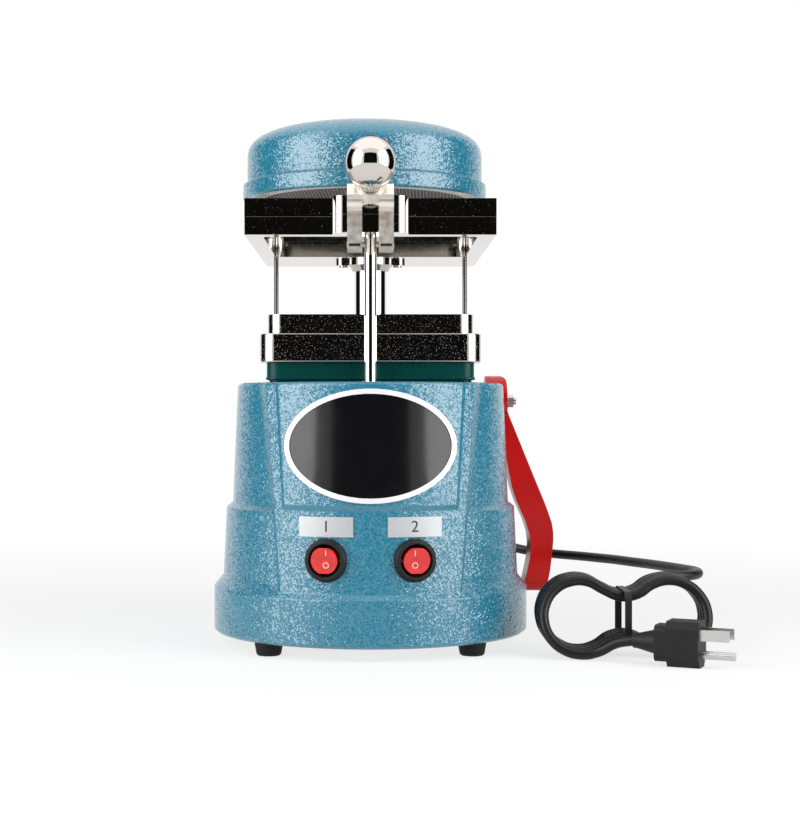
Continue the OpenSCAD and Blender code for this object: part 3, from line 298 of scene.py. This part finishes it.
def polished_metal(name, colour, roughness, grain=0.02, stretch=(1.0, 1.0, 1.0), specks=0.0):
    """Polished metal with faint polishing marks, and dull specks over a share of it."""
    finish, shader = new_finish(name, colour, roughness, 1.0)
    marks = cloud_pattern(finish, 260.0, stretch, 6.0)
    vary_roughness(finish, shader, marks, max(0.01, roughness - grain), roughness + grain)
    if specks:
        nodes, links = finish.node_tree.nodes, finish.node_tree.links
        dots = cloud_pattern(finish, 1300.0, detail=1.0)
        dull = nodes.new("ShaderNodeMapRange")
        dull.inputs["From Min"].default_value = 0.72 - specks * 0.5
        dull.inputs["From Max"].default_value = 0.8 - specks * 0.5
        dull.inputs["To Max"].default_value = 0.45
        links.new(dots, dull.inputs["Value"])
        most = nodes.new("ShaderNodeMath")
        most.operation = "MAXIMUM"
        links.new(shader.inputs["Roughness"].links[0].from_socket, most.inputs[0])
        links.new(dull.outputs["Result"], most.inputs[1])
        links.new(most.outputs["Value"], shader.inputs["Roughness"])
    return finish


def enamel(name, colour, roughness=0.25, coat=0.5):
    """Glossy enamel with a slight orange peel and a few darker clouds."""
    finish, shader = new_finish(name, colour, roughness, 0.0, coat, 0.06)
    shader.inputs["Specular IOR Level"].default_value = 0.3
    clouds = cloud_pattern(finish, 40.0, detail=4.0)
    peel = cloud_pattern(finish, 700.0, detail=2.0)
    dark = tuple(c * 0.8 for c in colour)
    vary_colour(finish, shader, clouds, [(0.3, dark), (0.7, colour)])
    relief = add_relief(finish, shader, peel, 0.05, 0.0002)
    finish.node_tree.links.new(relief.outputs["Normal"], shader.inputs["Coat Normal"])
    return finish


def moulded(name, colour, roughness, grain=900.0, depth=0.0002):
    """Moulded rubber or plastic with a fine grain."""
    finish, shader = new_finish(name, colour, roughness)
    shader.inputs["Specular IOR Level"].default_value = 0.3
    fine = cloud_pattern(finish, grain, detail=4.0)
    clouds = cloud_pattern(finish, 60.0, detail=3.0)
    pale = tuple(min(1.0, c * 1.3 + 0.002) for c in colour)
    vary_colour(finish, shader, clouds, [(0.3, colour), (0.75, pale)])
    vary_roughness(finish, shader, fine, max(0.05, roughness - 0.08), roughness + 0.08)
    add_relief(finish, shader, fine, 0.15, depth)
    return finish


def rocker_lens(name, colour):
    """Clear tinted plastic of a lit rocker."""
    finish, shader = new_finish(name, colour, 0.12, 0.0, 0.5, 0.03)
    shader.inputs["Subsurface Weight"].default_value = 0.25
    shader.inputs["Subsurface Radius"].default_value = (0.004, 0.001, 0.001)
    clouds = cloud_pattern(finish, 220.0, detail=2.0)
    vary_colour(finish, shader, clouds, [(0.3, tuple(c * 0.7 for c in colour)), (0.7, colour)])
    return finish


# Helpers for meshes


def add_piece(name, mesh_maker, finish, body):
    """A new piece at the origin, made by filling a bmesh, with its finish and its body."""
    shape = bmesh.new()
    mesh_maker(shape)
    mesh = bpy.data.meshes.new(name)
    shape.to_mesh(mesh)
    shape.free()
    piece = bpy.data.objects.new(name, mesh)
    bpy.context.scene.collection.objects.link(piece)
    mesh.materials.append(finish)
    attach(piece, body)
    return piece


def add_wire(shape, start, end, radius):
    """A straight thin wire between two points, closed at its ends."""
    run = Vector(end) - Vector(start)
    turn = Vector((0, 0, 1)).rotation_difference(run).to_matrix().to_4x4()
    bmesh.ops.create_cone(
        shape, cap_ends=True, segments=4, radius1=radius, radius2=radius,
        depth=run.length, matrix=Matrix.Translation((Vector(start) + Vector(end)) / 2) @ turn)


def add_numeral(shape, words, high):
    """A plain numeral as filled faces round the origin, in X and Y."""
    curve = bpy.data.curves.new("numeral", "FONT")
    curve.body = words
    curve.size = high
    curve.align_x = "CENTER"
    curve.align_y = "CENTER"
    holder = bpy.data.objects.new("numeral", curve)
    bpy.context.scene.collection.objects.link(holder)
    bpy.context.view_layer.update()
    mesh = bpy.data.meshes.new_from_object(
        holder.evaluated_get(bpy.context.evaluated_depsgraph_get()))
    shape.from_mesh(mesh)
    bpy.data.objects.remove(holder)
    bpy.data.curves.remove(curve)
    bpy.data.meshes.remove(mesh)


def loop_edges(made):
    """The edges of a circle that create_circle has just made."""
    return list({edge for vert in made["verts"] for edge in vert.link_edges})


def add_bar_and_ring(shape):
    """The on and off marks of a rocker, a bar over a ring, round the origin in X and Y."""
    bmesh.ops.create_grid(
        shape, x_segments=1, y_segments=1, size=1.0,
        matrix=Matrix.Translation((0, BAR_RISE, 0)) @ Matrix.Diagonal(
            (MARK_LINE, BAR_HALF, 1, 1)))
    rings = []
    for radius in RING_RADII:
        rings += loop_edges(bmesh.ops.create_circle(
            shape, segments=32, radius=radius, matrix=Matrix.Translation((0, RING_DROP, 0))))
    bmesh.ops.bridge_loops(shape, edges=rings)


def lay_on(shape, node, middle):
    """Stands a flat shape up in front of a CAD node and lays it on the node's front."""
    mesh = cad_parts[node].data
    front = BVHTree.FromPolygons(
        [vert.co for vert in mesh.vertices], [face.vertices for face in mesh.polygons])
    for vert in shape.verts:
        x, z = middle[0] + vert.co.x, middle[1] + vert.co.y
        hit = front.ray_cast(Vector((x, -0.5, z)), Vector((0, 1, 0)))[0]
        vert.co = (x, hit.y - PRINT_LIFT, z)


def rounded_copy(node, width, finish, body, segments=3, angle=30.0):
    """A copy of a CAD node whose hard edges are rounded, standing in its place."""
    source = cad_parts[node]
    shape = bmesh.new()
    shape.from_mesh(source.data)
    bmesh.ops.remove_doubles(shape, verts=shape.verts, dist=1e-6)
    bmesh.ops.dissolve_limit(
        shape, angle_limit=math.radians(0.5), verts=shape.verts, edges=shape.edges)
    mesh = bpy.data.meshes.new(node + "_rounded")
    shape.to_mesh(mesh)
    shape.free()
    piece = bpy.data.objects.new(node + "_rounded", mesh)
    bpy.context.scene.collection.objects.link(piece)
    mesh.materials.clear()
    mesh.materials.append(finish)
    for face in mesh.polygons:
        face.use_smooth = True
    bevel = piece.modifiers.new("Rounded edges", "BEVEL")
    bevel.width = width
    bevel.segments = segments
    bevel.limit_method = "ANGLE"
    bevel.angle_limit = math.radians(angle)
    flat = piece.modifiers.new("Flat faces stay flat", "WEIGHTED_NORMAL")
    flat.weight = 100
    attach(piece, body)
    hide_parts(node)
    return piece


def set_finish(finish, *nodes):
    """Gives CAD nodes a finish."""
    for node in nodes:
        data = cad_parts[node].data
        data.materials.clear()
        data.materials.append(finish)


# Cord


# The hank's loop: two lobes and the necks between them, lying on each other along Y
LOBE, NECK, LOBE_X = 0.022, 0.020, 0.027
NECK_TURN = math.asin(LOBE_X / (LOBE + NECK))
LOBE_RUN = LOBE * (math.pi / 2 + NECK_TURN)
QUARTER_RUN = LOBE_RUN + NECK * NECK_TURN
HANK_FROM = 90.0 * LOBE * math.pi / 2 / QUARTER_RUN
HANK_TURNS = 3.5
HANK_X, HANK_Y, HANK_Z = 0.1515, -0.066, 0.0243
HANK_LEAN = math.radians(18.0)
HANK_PITCH = 0.0073


def hank_point(angle):
    """A point of the hank at an angle from its start round its loops, in metres."""
    turned = angle + HANK_FROM
    quarter = int(turned // 90) % 4
    share = (turned % 90) / 90
    along = QUARTER_RUN * (share if quarter % 2 == 0 else 1 - share)
    if along < LOBE_RUN:
        out, rise = LOBE_X + LOBE * math.cos(along / LOBE), LOBE * math.sin(along / LOBE)
    else:
        left = NECK_TURN - (along - LOBE_RUN) / NECK
        out = NECK * math.sin(left)
        rise = (LOBE + NECK) * math.cos(NECK_TURN) - NECK * math.cos(left)
    out = -out if quarter in (1, 2) else out
    rise = rise if quarter < 2 else -rise
    turns = angle / 360.0 - HANK_TURNS / 2
    return Vector((
        HANK_X + out,
        HANK_Y + rise * math.sin(HANK_LEAN) - HANK_PITCH * turns,
        HANK_Z + rise * math.cos(HANK_LEAN)))


RELIEF_END = (0.0913, 0.1166, 0.0505)
# The free part's line from the relief to the hank, and the tail's to the plug, in millimetres
CORD_ROUTE = [
    (98, 121.5, 49.5), (106, 125, 47.5), (115, 126, 45.7), (124, 124.5, 44.6), (133, 120, 44),
    (142, 113, 43.8), (151, 103, 43.8), (160, 91, 43.8), (168.5, 77, 44), (177, 61, 44),
    (185, 45, 44.2), (191.5, 29, 44.4), (197.5, 13, 44.6), (202, -1.5, 44.8), (204.9, -13, 45),
    (204.7, -26, 45.1), (201.1, -34.1, 45.1), (195.1, -40.7, 45.1), (187.3, -45, 45.1)]
TAIL_ROUTE = [(133.8, -87, 5.2), (143.6, -91.7, 11)]
PLUG_START = (0.153, -0.0961, 0.0132)


def cord_points(settings):
    """The whole cord's line: out of the relief, round the hank and on to the plug."""
    loop = settings.loop_points
    hank = [hank_point(360.0 * i / loop) for i in range(int(HANK_TURNS * loop) + 1)]
    points = [Vector(RELIEF_END)]
    points += [Vector(p) / 1000 for p in CORD_ROUTE] + hank
    points += [Vector(p) / 1000 for p in TAIL_ROUTE] + [Vector(PLUG_START)]
    return points


# Operators


class FORMER_OT_stage(bpy.types.Operator):
    """Builds the floor, backdrop, lamps and camera"""

    bl_idname = "former.stage"
    bl_label = "Stage"

    def execute(self, context):
        scene = context.scene
        settings = scene.former_stage
        self.add_camera(scene, settings)
        self.add_world(scene)
        self.add_floor(scene, settings)
        for softbox in SOFTBOXES:
            self.add_lamp(scene, *softbox)
        for card in CARDS:
            self.add_card(*card)
        scene.view_settings.view_transform = "Standard"
        return {"FINISHED"}

    def add_camera(self, scene, settings):
        """A level camera at the photograph's place and angle."""
        camera = bpy.data.cameras.new("photo_camera")
        camera.lens = PHOTO_LENS
        camera.sensor_width = SENSOR_WIDTH
        camera.shift_x, camera.shift_y = PHOTO_SHIFT
        holder = bpy.data.objects.new("photo_camera", camera)
        holder.location = (0.0, -settings.camera_distance, settings.camera_height)
        holder.rotation_euler = (math.radians(90.0), 0.0, 0.0)
        scene.collection.objects.link(holder)
        scene.camera = holder

    def add_world(self, scene):
        """White for the camera and in reflections, pale grey as light."""
        world = bpy.data.worlds.new("studio")
        scene.world = world
        world.use_nodes = True
        nodes, links = world.node_tree.nodes, world.node_tree.links
        back = nodes["Background"]
        back.inputs["Color"].default_value = (1.0, 1.0, 1.0, 1.0)
        path = nodes.new("ShaderNodeLightPath")
        seen = nodes.new("ShaderNodeMath")
        seen.operation = "MAXIMUM"
        links.new(path.outputs["Is Camera Ray"], seen.inputs[0])
        links.new(path.outputs["Is Glossy Ray"], seen.inputs[1])
        through = nodes.new("ShaderNodeMath")
        through.operation = "MAXIMUM"
        links.new(seen.outputs["Value"], through.inputs[0])
        links.new(path.outputs["Is Transmission Ray"], through.inputs[1])
        level = nodes.new("ShaderNodeMapRange")
        level.inputs["To Min"].default_value = WORLD_LIGHT
        level.inputs["To Max"].default_value = 1.0
        links.new(through.outputs["Value"], level.inputs["Value"])
        links.new(level.outputs["Result"], back.inputs["Strength"])

    def add_floor(self, scene, settings):
        """A plain floor that is white to the camera and keeps the shadow."""
        shape = bmesh.new()
        bmesh.ops.create_grid(shape, x_segments=1, y_segments=1, size=FLOOR_REACH)
        mesh = bpy.data.meshes.new("floor")
        shape.to_mesh(mesh)
        shape.free()
        floor = bpy.data.objects.new("floor", mesh)
        scene.collection.objects.link(floor)
        finish, shader = new_finish("floor_paper", tuple(settings.floor_colour), 0.9)
        nodes, links = finish.node_tree.nodes, finish.node_tree.links
        glow = nodes.new("ShaderNodeEmission")
        mix = nodes.new("ShaderNodeMixShader")
        path = nodes.new("ShaderNodeLightPath")
        seen = nodes.new("ShaderNodeMath")
        seen.operation = "MAXIMUM"
        links.new(path.outputs["Is Camera Ray"], seen.inputs[0])
        links.new(path.outputs["Is Glossy Ray"], seen.inputs[1])
        place = nodes.new("ShaderNodeTexCoord")
        away = nodes.new("ShaderNodeVectorMath")
        away.operation = "LENGTH"
        links.new(place.outputs["Object"], away.inputs[0])
        fade = nodes.new("ShaderNodeMapRange")
        fade.inputs["From Min"].default_value = 0.25
        fade.inputs["From Max"].default_value = 0.8
        fade.inputs["To Min"].default_value = 0.72
        fade.inputs["To Max"].default_value = 1.0
        links.new(away.outputs["Value"], fade.inputs["Value"])
        share = nodes.new("ShaderNodeMath")
        share.operation = "MULTIPLY"
        links.new(fade.outputs["Result"], share.inputs[1])
        links.new(seen.outputs["Value"], share.inputs[0])
        links.new(share.outputs["Value"], mix.inputs["Fac"])
        links.new(shader.outputs["BSDF"], mix.inputs[1])
        links.new(glow.outputs["Emission"], mix.inputs[2])
        links.new(mix.outputs["Shader"], nodes["Material Output"].inputs["Surface"])
        mesh.materials.append(finish)

    def add_card(self, name, start, end, high):
        """A black card that stands on the floor, seen only in reflections."""
        shape = bmesh.new()
        corners = [(*start, 0.0), (*end, 0.0), (*end, high), (*start, high)]
        shape.faces.new([shape.verts.new(corner) for corner in corners])
        mesh = bpy.data.meshes.new(name)
        shape.to_mesh(mesh)
        shape.free()
        card = bpy.data.objects.new(name, mesh)
        bpy.context.scene.collection.objects.link(card)
        finish, shader = new_finish("card_black", (0.006, 0.006, 0.005), 1.0)
        shader.inputs["Specular IOR Level"].default_value = 0.0
        mesh.materials.append(finish)
        card.visible_camera = False

    def add_lamp(self, scene, name, place, size, power):
        """A soft box that faces the machine."""
        lamp = bpy.data.lights.new(name, "AREA")
        lamp.shape = "RECTANGLE"
        lamp.size, lamp.size_y = size
        lamp.energy = power
        holder = bpy.data.objects.new(name, lamp)
        holder.location = place
        aim = Vector((0.0, min(0.0, place[1] + 0.1), min(0.4, place[2]))) - Vector(place)
        holder.rotation_euler = aim.to_track_quat("-Z", "Y").to_euler()
        scene.collection.objects.link(holder)


class FORMER_OT_cord(bpy.types.Operator):
    """Builds the mains cord with its hank"""

    bl_idname = "former.cord"
    bl_label = "Mains cord"

    def execute(self, context):
        settings = context.scene.former_cord
        points = cord_points(settings)
        curve = bpy.data.curves.new("power_cord", "CURVE")
        curve.dimensions = "3D"
        curve.bevel_depth = settings.cord_width / 2
        curve.bevel_resolution = 4
        curve.resolution_u = 4
        curve.use_fill_caps = True
        spline = curve.splines.new("BEZIER")
        spline.bezier_points.add(len(points) - 1)
        for knot, point in zip(spline.bezier_points, points):
            knot.co = point
            knot.handle_left_type = "AUTO"
            knot.handle_right_type = "AUTO"
        cord = bpy.data.objects.new("power_cord", curve)
        context.scene.collection.objects.link(cord)
        curve.materials.append(moulded("cord_sheath", (0.004, 0.004, 0.0045), 0.4, 1600.0))
        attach(cord, "base")
        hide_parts("mains_cord", "cord_hank", "cord_tail")
        return {"FINISHED"}


class FORMER_OT_finishes(bpy.types.Operator):
    """Gives the carried-over CAD pieces their finishes"""

    bl_idname = "former.finishes"
    bl_label = "Finishes"

    def execute(self, context):
        settings = context.scene.former_finish
        paint = hammered_paint(
            tuple(settings.paint_colour), settings.paint_grain, settings.paint_lean)
        set_finish(paint, "base_housing", "heater_dome", "head_arm")
        chrome = polished_metal("chrome_plate", (0.86, 0.86, 0.87), 0.06)
        set_finish(chrome, "lift_post", "rear_column", "front_rod")
        set_finish(polished_metal("dark_steel", (0.13, 0.11, 0.1), 0.25, 0.05), "rear_rods")
        rim = polished_metal("badge_silver", (0.82, 0.81, 0.84), 0.5, 0.05)
        rim.node_tree.nodes["Principled BSDF"].inputs["Metallic"].default_value = 0.3
        set_finish(rim, "badge_rim")
        steel = polished_metal("machined_steel", (0.58, 0.57, 0.55), 0.28, 0.06, (1.0, 1.0, 8.0))
        set_finish(steel, "lever_shaft", "lever_nut", "sector_gear", "shaft_bracket", "lift_rack",
                   "hinge_pins", "clamp_pin", "clamp_tip", "flange_screws", "bottom_screws",
                   "plug_pins")
        nickel = polished_metal("polished_nickel", (0.5, 0.47, 0.43), 0.07, 0.03, specks=0.03)
        set_finish(nickel, "head_stop", "column_flange")
        sheet = polished_metal("zinc_sheet", (0.62, 0.63, 0.64), 0.35, 0.08)
        set_finish(sheet, "bottom_plate", "vacuum_pipe", "head_ring", "guard_mesh")
        set_finish(polished_metal("bush_brass", (0.62, 0.44, 0.2), 0.3, 0.05), "shaft_bushes")
        set_finish(polished_metal("cast_guide", (0.32, 0.32, 0.32), 0.5, 0.1), "post_guide")
        set_finish(polished_metal("heater_wire", (0.3, 0.2, 0.14), 0.5, 0.1), "heating_coil")
        set_finish(moulded("ceramic", (0.72, 0.68, 0.6), 0.7, 500.0), "heater_plate")
        rubber = moulded("foot_rubber", (0.004, 0.004, 0.004), 0.7)
        set_finish(rubber, "rubber_feet", "motor_mount")
        set_finish(moulded("black_plastic", (0.005, 0.005, 0.0055), 0.5), "bezel_left",
                   "bezel_right", "cord_relief", "cord_tie", "plug_body")
        gloss, shader = new_finish("badge_gloss", (0.004, 0.004, 0.005), 0.16, 0.0, 0.08, 0.1)
        shader.inputs["Specular IOR Level"].default_value = 0.4
        mottle = cloud_pattern(gloss, 90.0, detail=3.0)
        vary_roughness(gloss, shader, mottle, 0.14, 0.2)
        set_finish(gloss, "badge_plate")
        foil = polished_metal("label_foil", (0.5, 0.52, 0.54), 0.42, 0.04)
        foil.node_tree.nodes["Principled BSDF"].inputs["Metallic"].default_value = 0.3
        set_finish(foil, "label_left", "label_right")
        set_finish(rocker_lens("rocker_red", (0.75, 0.012, 0.01)), "rocker_left", "rocker_right")
        set_finish(enamel("star_red", (0.55, 0.008, 0.012), 0.2), "star_knob")
        set_finish(enamel("motor_paint", (0.04, 0.07, 0.09), 0.4), "vacuum_motor")
        bright = polished_metal("bright_nickel", (0.66, 0.62, 0.575), 0.05, 0.02)
        set_finish(bright, "ball_knob", "clamp_screw")
        return {"FINISHED"}


class FORMER_OT_metalwork(bpy.types.Operator):
    """Rounds the edges of the frames, the table, the clamp and the lever"""

    bl_idname = "former.metalwork"
    bl_label = "Metalwork"

    def execute(self, context):
        settings = context.scene.former_finish
        small = settings.edge_round
        nickel = bpy.data.materials["polished_nickel"]
        table = polished_metal("table_nickel", (0.52, 0.49, 0.45), 0.08, 0.03, specks=0.2)
        yoke = polished_metal("satin_nickel", (0.88, 0.82, 0.75), 0.42, 0.05)
        seal, shader = new_finish(
            "seal_paint", tuple(settings.seal_colour), 0.35, 0.0, 0.05, 0.1)
        shader.inputs["Specular IOR Level"].default_value = 0.15
        fine = cloud_pattern(seal, 500.0)
        vary_roughness(seal, shader, fine, 0.24, 0.4)
        add_relief(seal, shader, fine, 0.1, 0.0002)
        red = enamel("lever_enamel", tuple(settings.lever_colour), 0.3, 0.12)
        finer = small * 0.7
        rounded_copy("lower_frame", small, nickel, "base")
        rounded_copy("upper_frame", small, nickel, "base")
        rounded_copy("table_base", small, table, "table")
        rounded_copy("table_top", small, table, "table")
        rounded_copy("table_seal", finer, seal, "table")
        rounded_copy("clamp_yoke", finer, yoke, "clamp")
        rounded_copy("lift_lever", LEVER_EDGE, red, "lever", 4, 40.0)
        return {"FINISHED"}


class FORMER_OT_marks(bpy.types.Operator):
    """Prints the numerals on the label plates and the marks on the rockers"""

    bl_idname = "former.marks"
    bl_label = "Printed marks"

    def execute(self, context):
        # This black ink prints the numerals and is also the painted shade in the clamp bars'
        # slots
        ink_and_slot_shade = moulded("print_ink_and_slot_shade", (0.02, 0.02, 0.022), 0.5)
        pale = moulded("rocker_print", (0.8, 0.45, 0.42), 0.4)
        for across, name, numeral in ((-SWITCH_X, "left", "1"), (SWITCH_X, "right", "2")):
            add_piece("numeral_" + name, partial(
                self.add_label, name=name, numeral=numeral, across=across),
                ink_and_slot_shade, "base")
            add_piece("rocker_marks_" + name, partial(
                self.add_rocker_marks, name=name, across=across),
                pale, "switch_" + name)
        return {"FINISHED"}

    def add_label(self, shape, name, numeral, across):
        """A numeral on one of the label plates."""
        add_numeral(shape, numeral, NUMERAL_SIZE)
        lay_on(shape, "label_" + name, (across, LABEL_Z))

    def add_rocker_marks(self, shape, name, across):
        """The on and off marks on one of the rockers."""
        add_bar_and_ring(shape)
        lay_on(shape, "rocker_" + name, (across, SWITCH_Z))


class FORMER_OT_trim(bpy.types.Operator):
    """Builds the woven guard, black boxes as painted shade in the slots of the clamp's bars, and
    the knurl on its screw
    """

    bl_idname = "former.trim"
    bl_label = "Guard, slots and knurl"

    def execute(self, context):
        settings = context.scene.former_trim
        wire = polished_metal("guard_wire", (0.3, 0.3, 0.3), 0.4, 0.08)
        steel = bpy.data.materials["dark_steel"]
        ink_and_slot_shade = bpy.data.materials["print_ink_and_slot_shade"]
        nickel = bpy.data.materials["bright_nickel"]
        weave = add_piece("guard_weave", partial(
            self.add_weave, pitch=settings.weave_pitch, radius=settings.wire_width / 2),
            wire, "head")
        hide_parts("guard_mesh")
        add_piece("guard_rim", self.add_rim, steel, "head")
        # The slots' black boxes take the black ink: painted shade inside the clamp's bars
        add_piece("bar_slot_shade", self.add_slot_shade, ink_and_slot_shade, "clamp")
        add_piece("skirt_knurl", partial(self.add_knurl, ribs=settings.knurl_ribs),
                  nickel, "clamp_knob")
        return {"FINISHED"}

    def add_weave(self, shape, pitch, radius):
        """A disc of crossed wires, turned with the head."""
        low, high = WEAVE_LEVELS
        count = int(WEAVE_RADIUS / pitch)
        for i in range(-count, count + 1):
            half = math.sqrt(WEAVE_RADIUS ** 2 - (i * pitch) ** 2)
            add_wire(shape, (i * pitch, -half, low), (i * pitch, half, low), radius)
            add_wire(shape, (-half, i * pitch, high), (half, i * pitch, high), radius)
        self.turn_with_head(shape)

    def add_rim(self, shape):
        """The round rim that holds the weave."""
        rim = bmesh.ops.create_circle(
            shape, segments=8, radius=RIM_WIRE,
            matrix=Matrix.Translation((RIM_RADIUS, 0, RIM_LEVEL)) @ Matrix.Rotation(
                math.pi / 2, 4, "X"))
        bmesh.ops.spin(shape, geom=loop_edges(rim), cent=(0, 0, 0), axis=(0, 0, 1),
                       angle=math.tau, steps=96, use_merge=True)
        bmesh.ops.recalc_face_normals(shape, faces=shape.faces)
        self.turn_with_head(shape)

    def add_slot_shade(self, shape):
        """Thin black boxes in the slots of the clamp's two bars, as painted shade."""
        across, front, level = SLOT_SHADE_PLACE
        for side in (-1, 1):
            made = bmesh.ops.create_cube(shape, size=1.0)
            bmesh.ops.scale(shape, vec=SLOT_SHADE_SIZE, verts=made["verts"])
            bmesh.ops.translate(
                shape, vec=(side * across, front, level), verts=made["verts"])

    def turn_with_head(self, shape):
        """Turns a shape round the column, as the head stands."""
        column = Vector((0, COLUMN_Y, 0))
        turn = Matrix.Rotation(math.radians(HEAD_TURN), 4, "Z")
        bmesh.ops.transform(
            shape, verts=shape.verts,
            matrix=Matrix.Translation(column) @ turn @ Matrix.Translation(-column))

    def add_knurl(self, shape, ribs):
        """Fine ribs round the skirt's cone, along the clamp screw's line."""
        tilt = math.radians(SCREW_TILT)
        along = Vector((0, -math.cos(tilt), math.sin(tilt)))
        place = Matrix.Translation(SCREW_SEAT) @ Vector((0, 0, 1)).rotation_difference(
            along).to_matrix().to_4x4()
        flare_from, flare = SKIRT_FLARE
        below = []
        for high, proud in KNURL_RINGS:
            radius = SKIRT_RADIUS + (high - flare_from) * flare
            ring = bmesh.ops.create_circle(
                shape, segments=2 * ribs, radius=(radius - KNURL_SUNK) / 1000,
                matrix=Matrix.Translation((0, 0, (SKIRT_START + high) / 1000)))
            reach = (radius + proud) / (radius - KNURL_SUNK)
            bmesh.ops.scale(shape, vec=(reach, reach, 1), verts=ring["verts"][::2])
            edges = loop_edges(ring)
            if below:
                bmesh.ops.bridge_loops(shape, edges=below + edges)
            below = edges
        bmesh.ops.recalc_face_normals(shape, faces=shape.faces)
        bmesh.ops.transform(shape, verts=shape.verts, matrix=place)


class FORMER_PT_panel(bpy.types.Panel):
    """Lists the steps that build the vacuum former's looks"""

    bl_idname = "FORMER_PT_panel"
    bl_label = "Vacuum former"
    bl_space_type = "VIEW_3D"
    bl_region_type = "UI"
    bl_category = "Vacuum former"

    def draw(self, context):
        layout = self.layout
        scene = context.scene
        for group in (scene.former_stage, scene.former_finish, scene.former_cord,
                      scene.former_trim):
            box = layout.box()
            for name in group.__annotations__:
                box.prop(group, name)
        for step in STEPS:
            layout.operator(step.bl_idname)


STEPS = (FORMER_OT_stage, FORMER_OT_cord, FORMER_OT_finishes, FORMER_OT_metalwork,
         FORMER_OT_marks, FORMER_OT_trim)
GROUPS = (FormerStageSettings, FormerFinishSettings, FormerCordSettings, FormerTrimSettings)


def register():
    for group in (*GROUPS, *STEPS, FORMER_PT_panel):
        bpy.utils.register_class(group)
    bpy.types.Scene.former_stage = bpy.props.PointerProperty(type=FormerStageSettings)
    bpy.types.Scene.former_finish = bpy.props.PointerProperty(type=FormerFinishSettings)
    bpy.types.Scene.former_cord = bpy.props.PointerProperty(type=FormerCordSettings)
    bpy.types.Scene.former_trim = bpy.props.PointerProperty(type=FormerTrimSettings)


def unregister():
    del bpy.types.Scene.former_trim
    del bpy.types.Scene.former_cord
    del bpy.types.Scene.former_finish
    del bpy.types.Scene.former_stage
    for group in reversed((*GROUPS, *STEPS, FORMER_PT_panel)):
        bpy.utils.unregister_class(group)


def main():
    register()
    bpy.ops.former.stage()
    bpy.ops.former.cord()
    bpy.ops.former.finishes()
    bpy.ops.former.metalwork()
    bpy.ops.former.marks()
    bpy.ops.former.trim()
    bpy.context.view_layer.update()


if __name__ == "__main__":
    main()
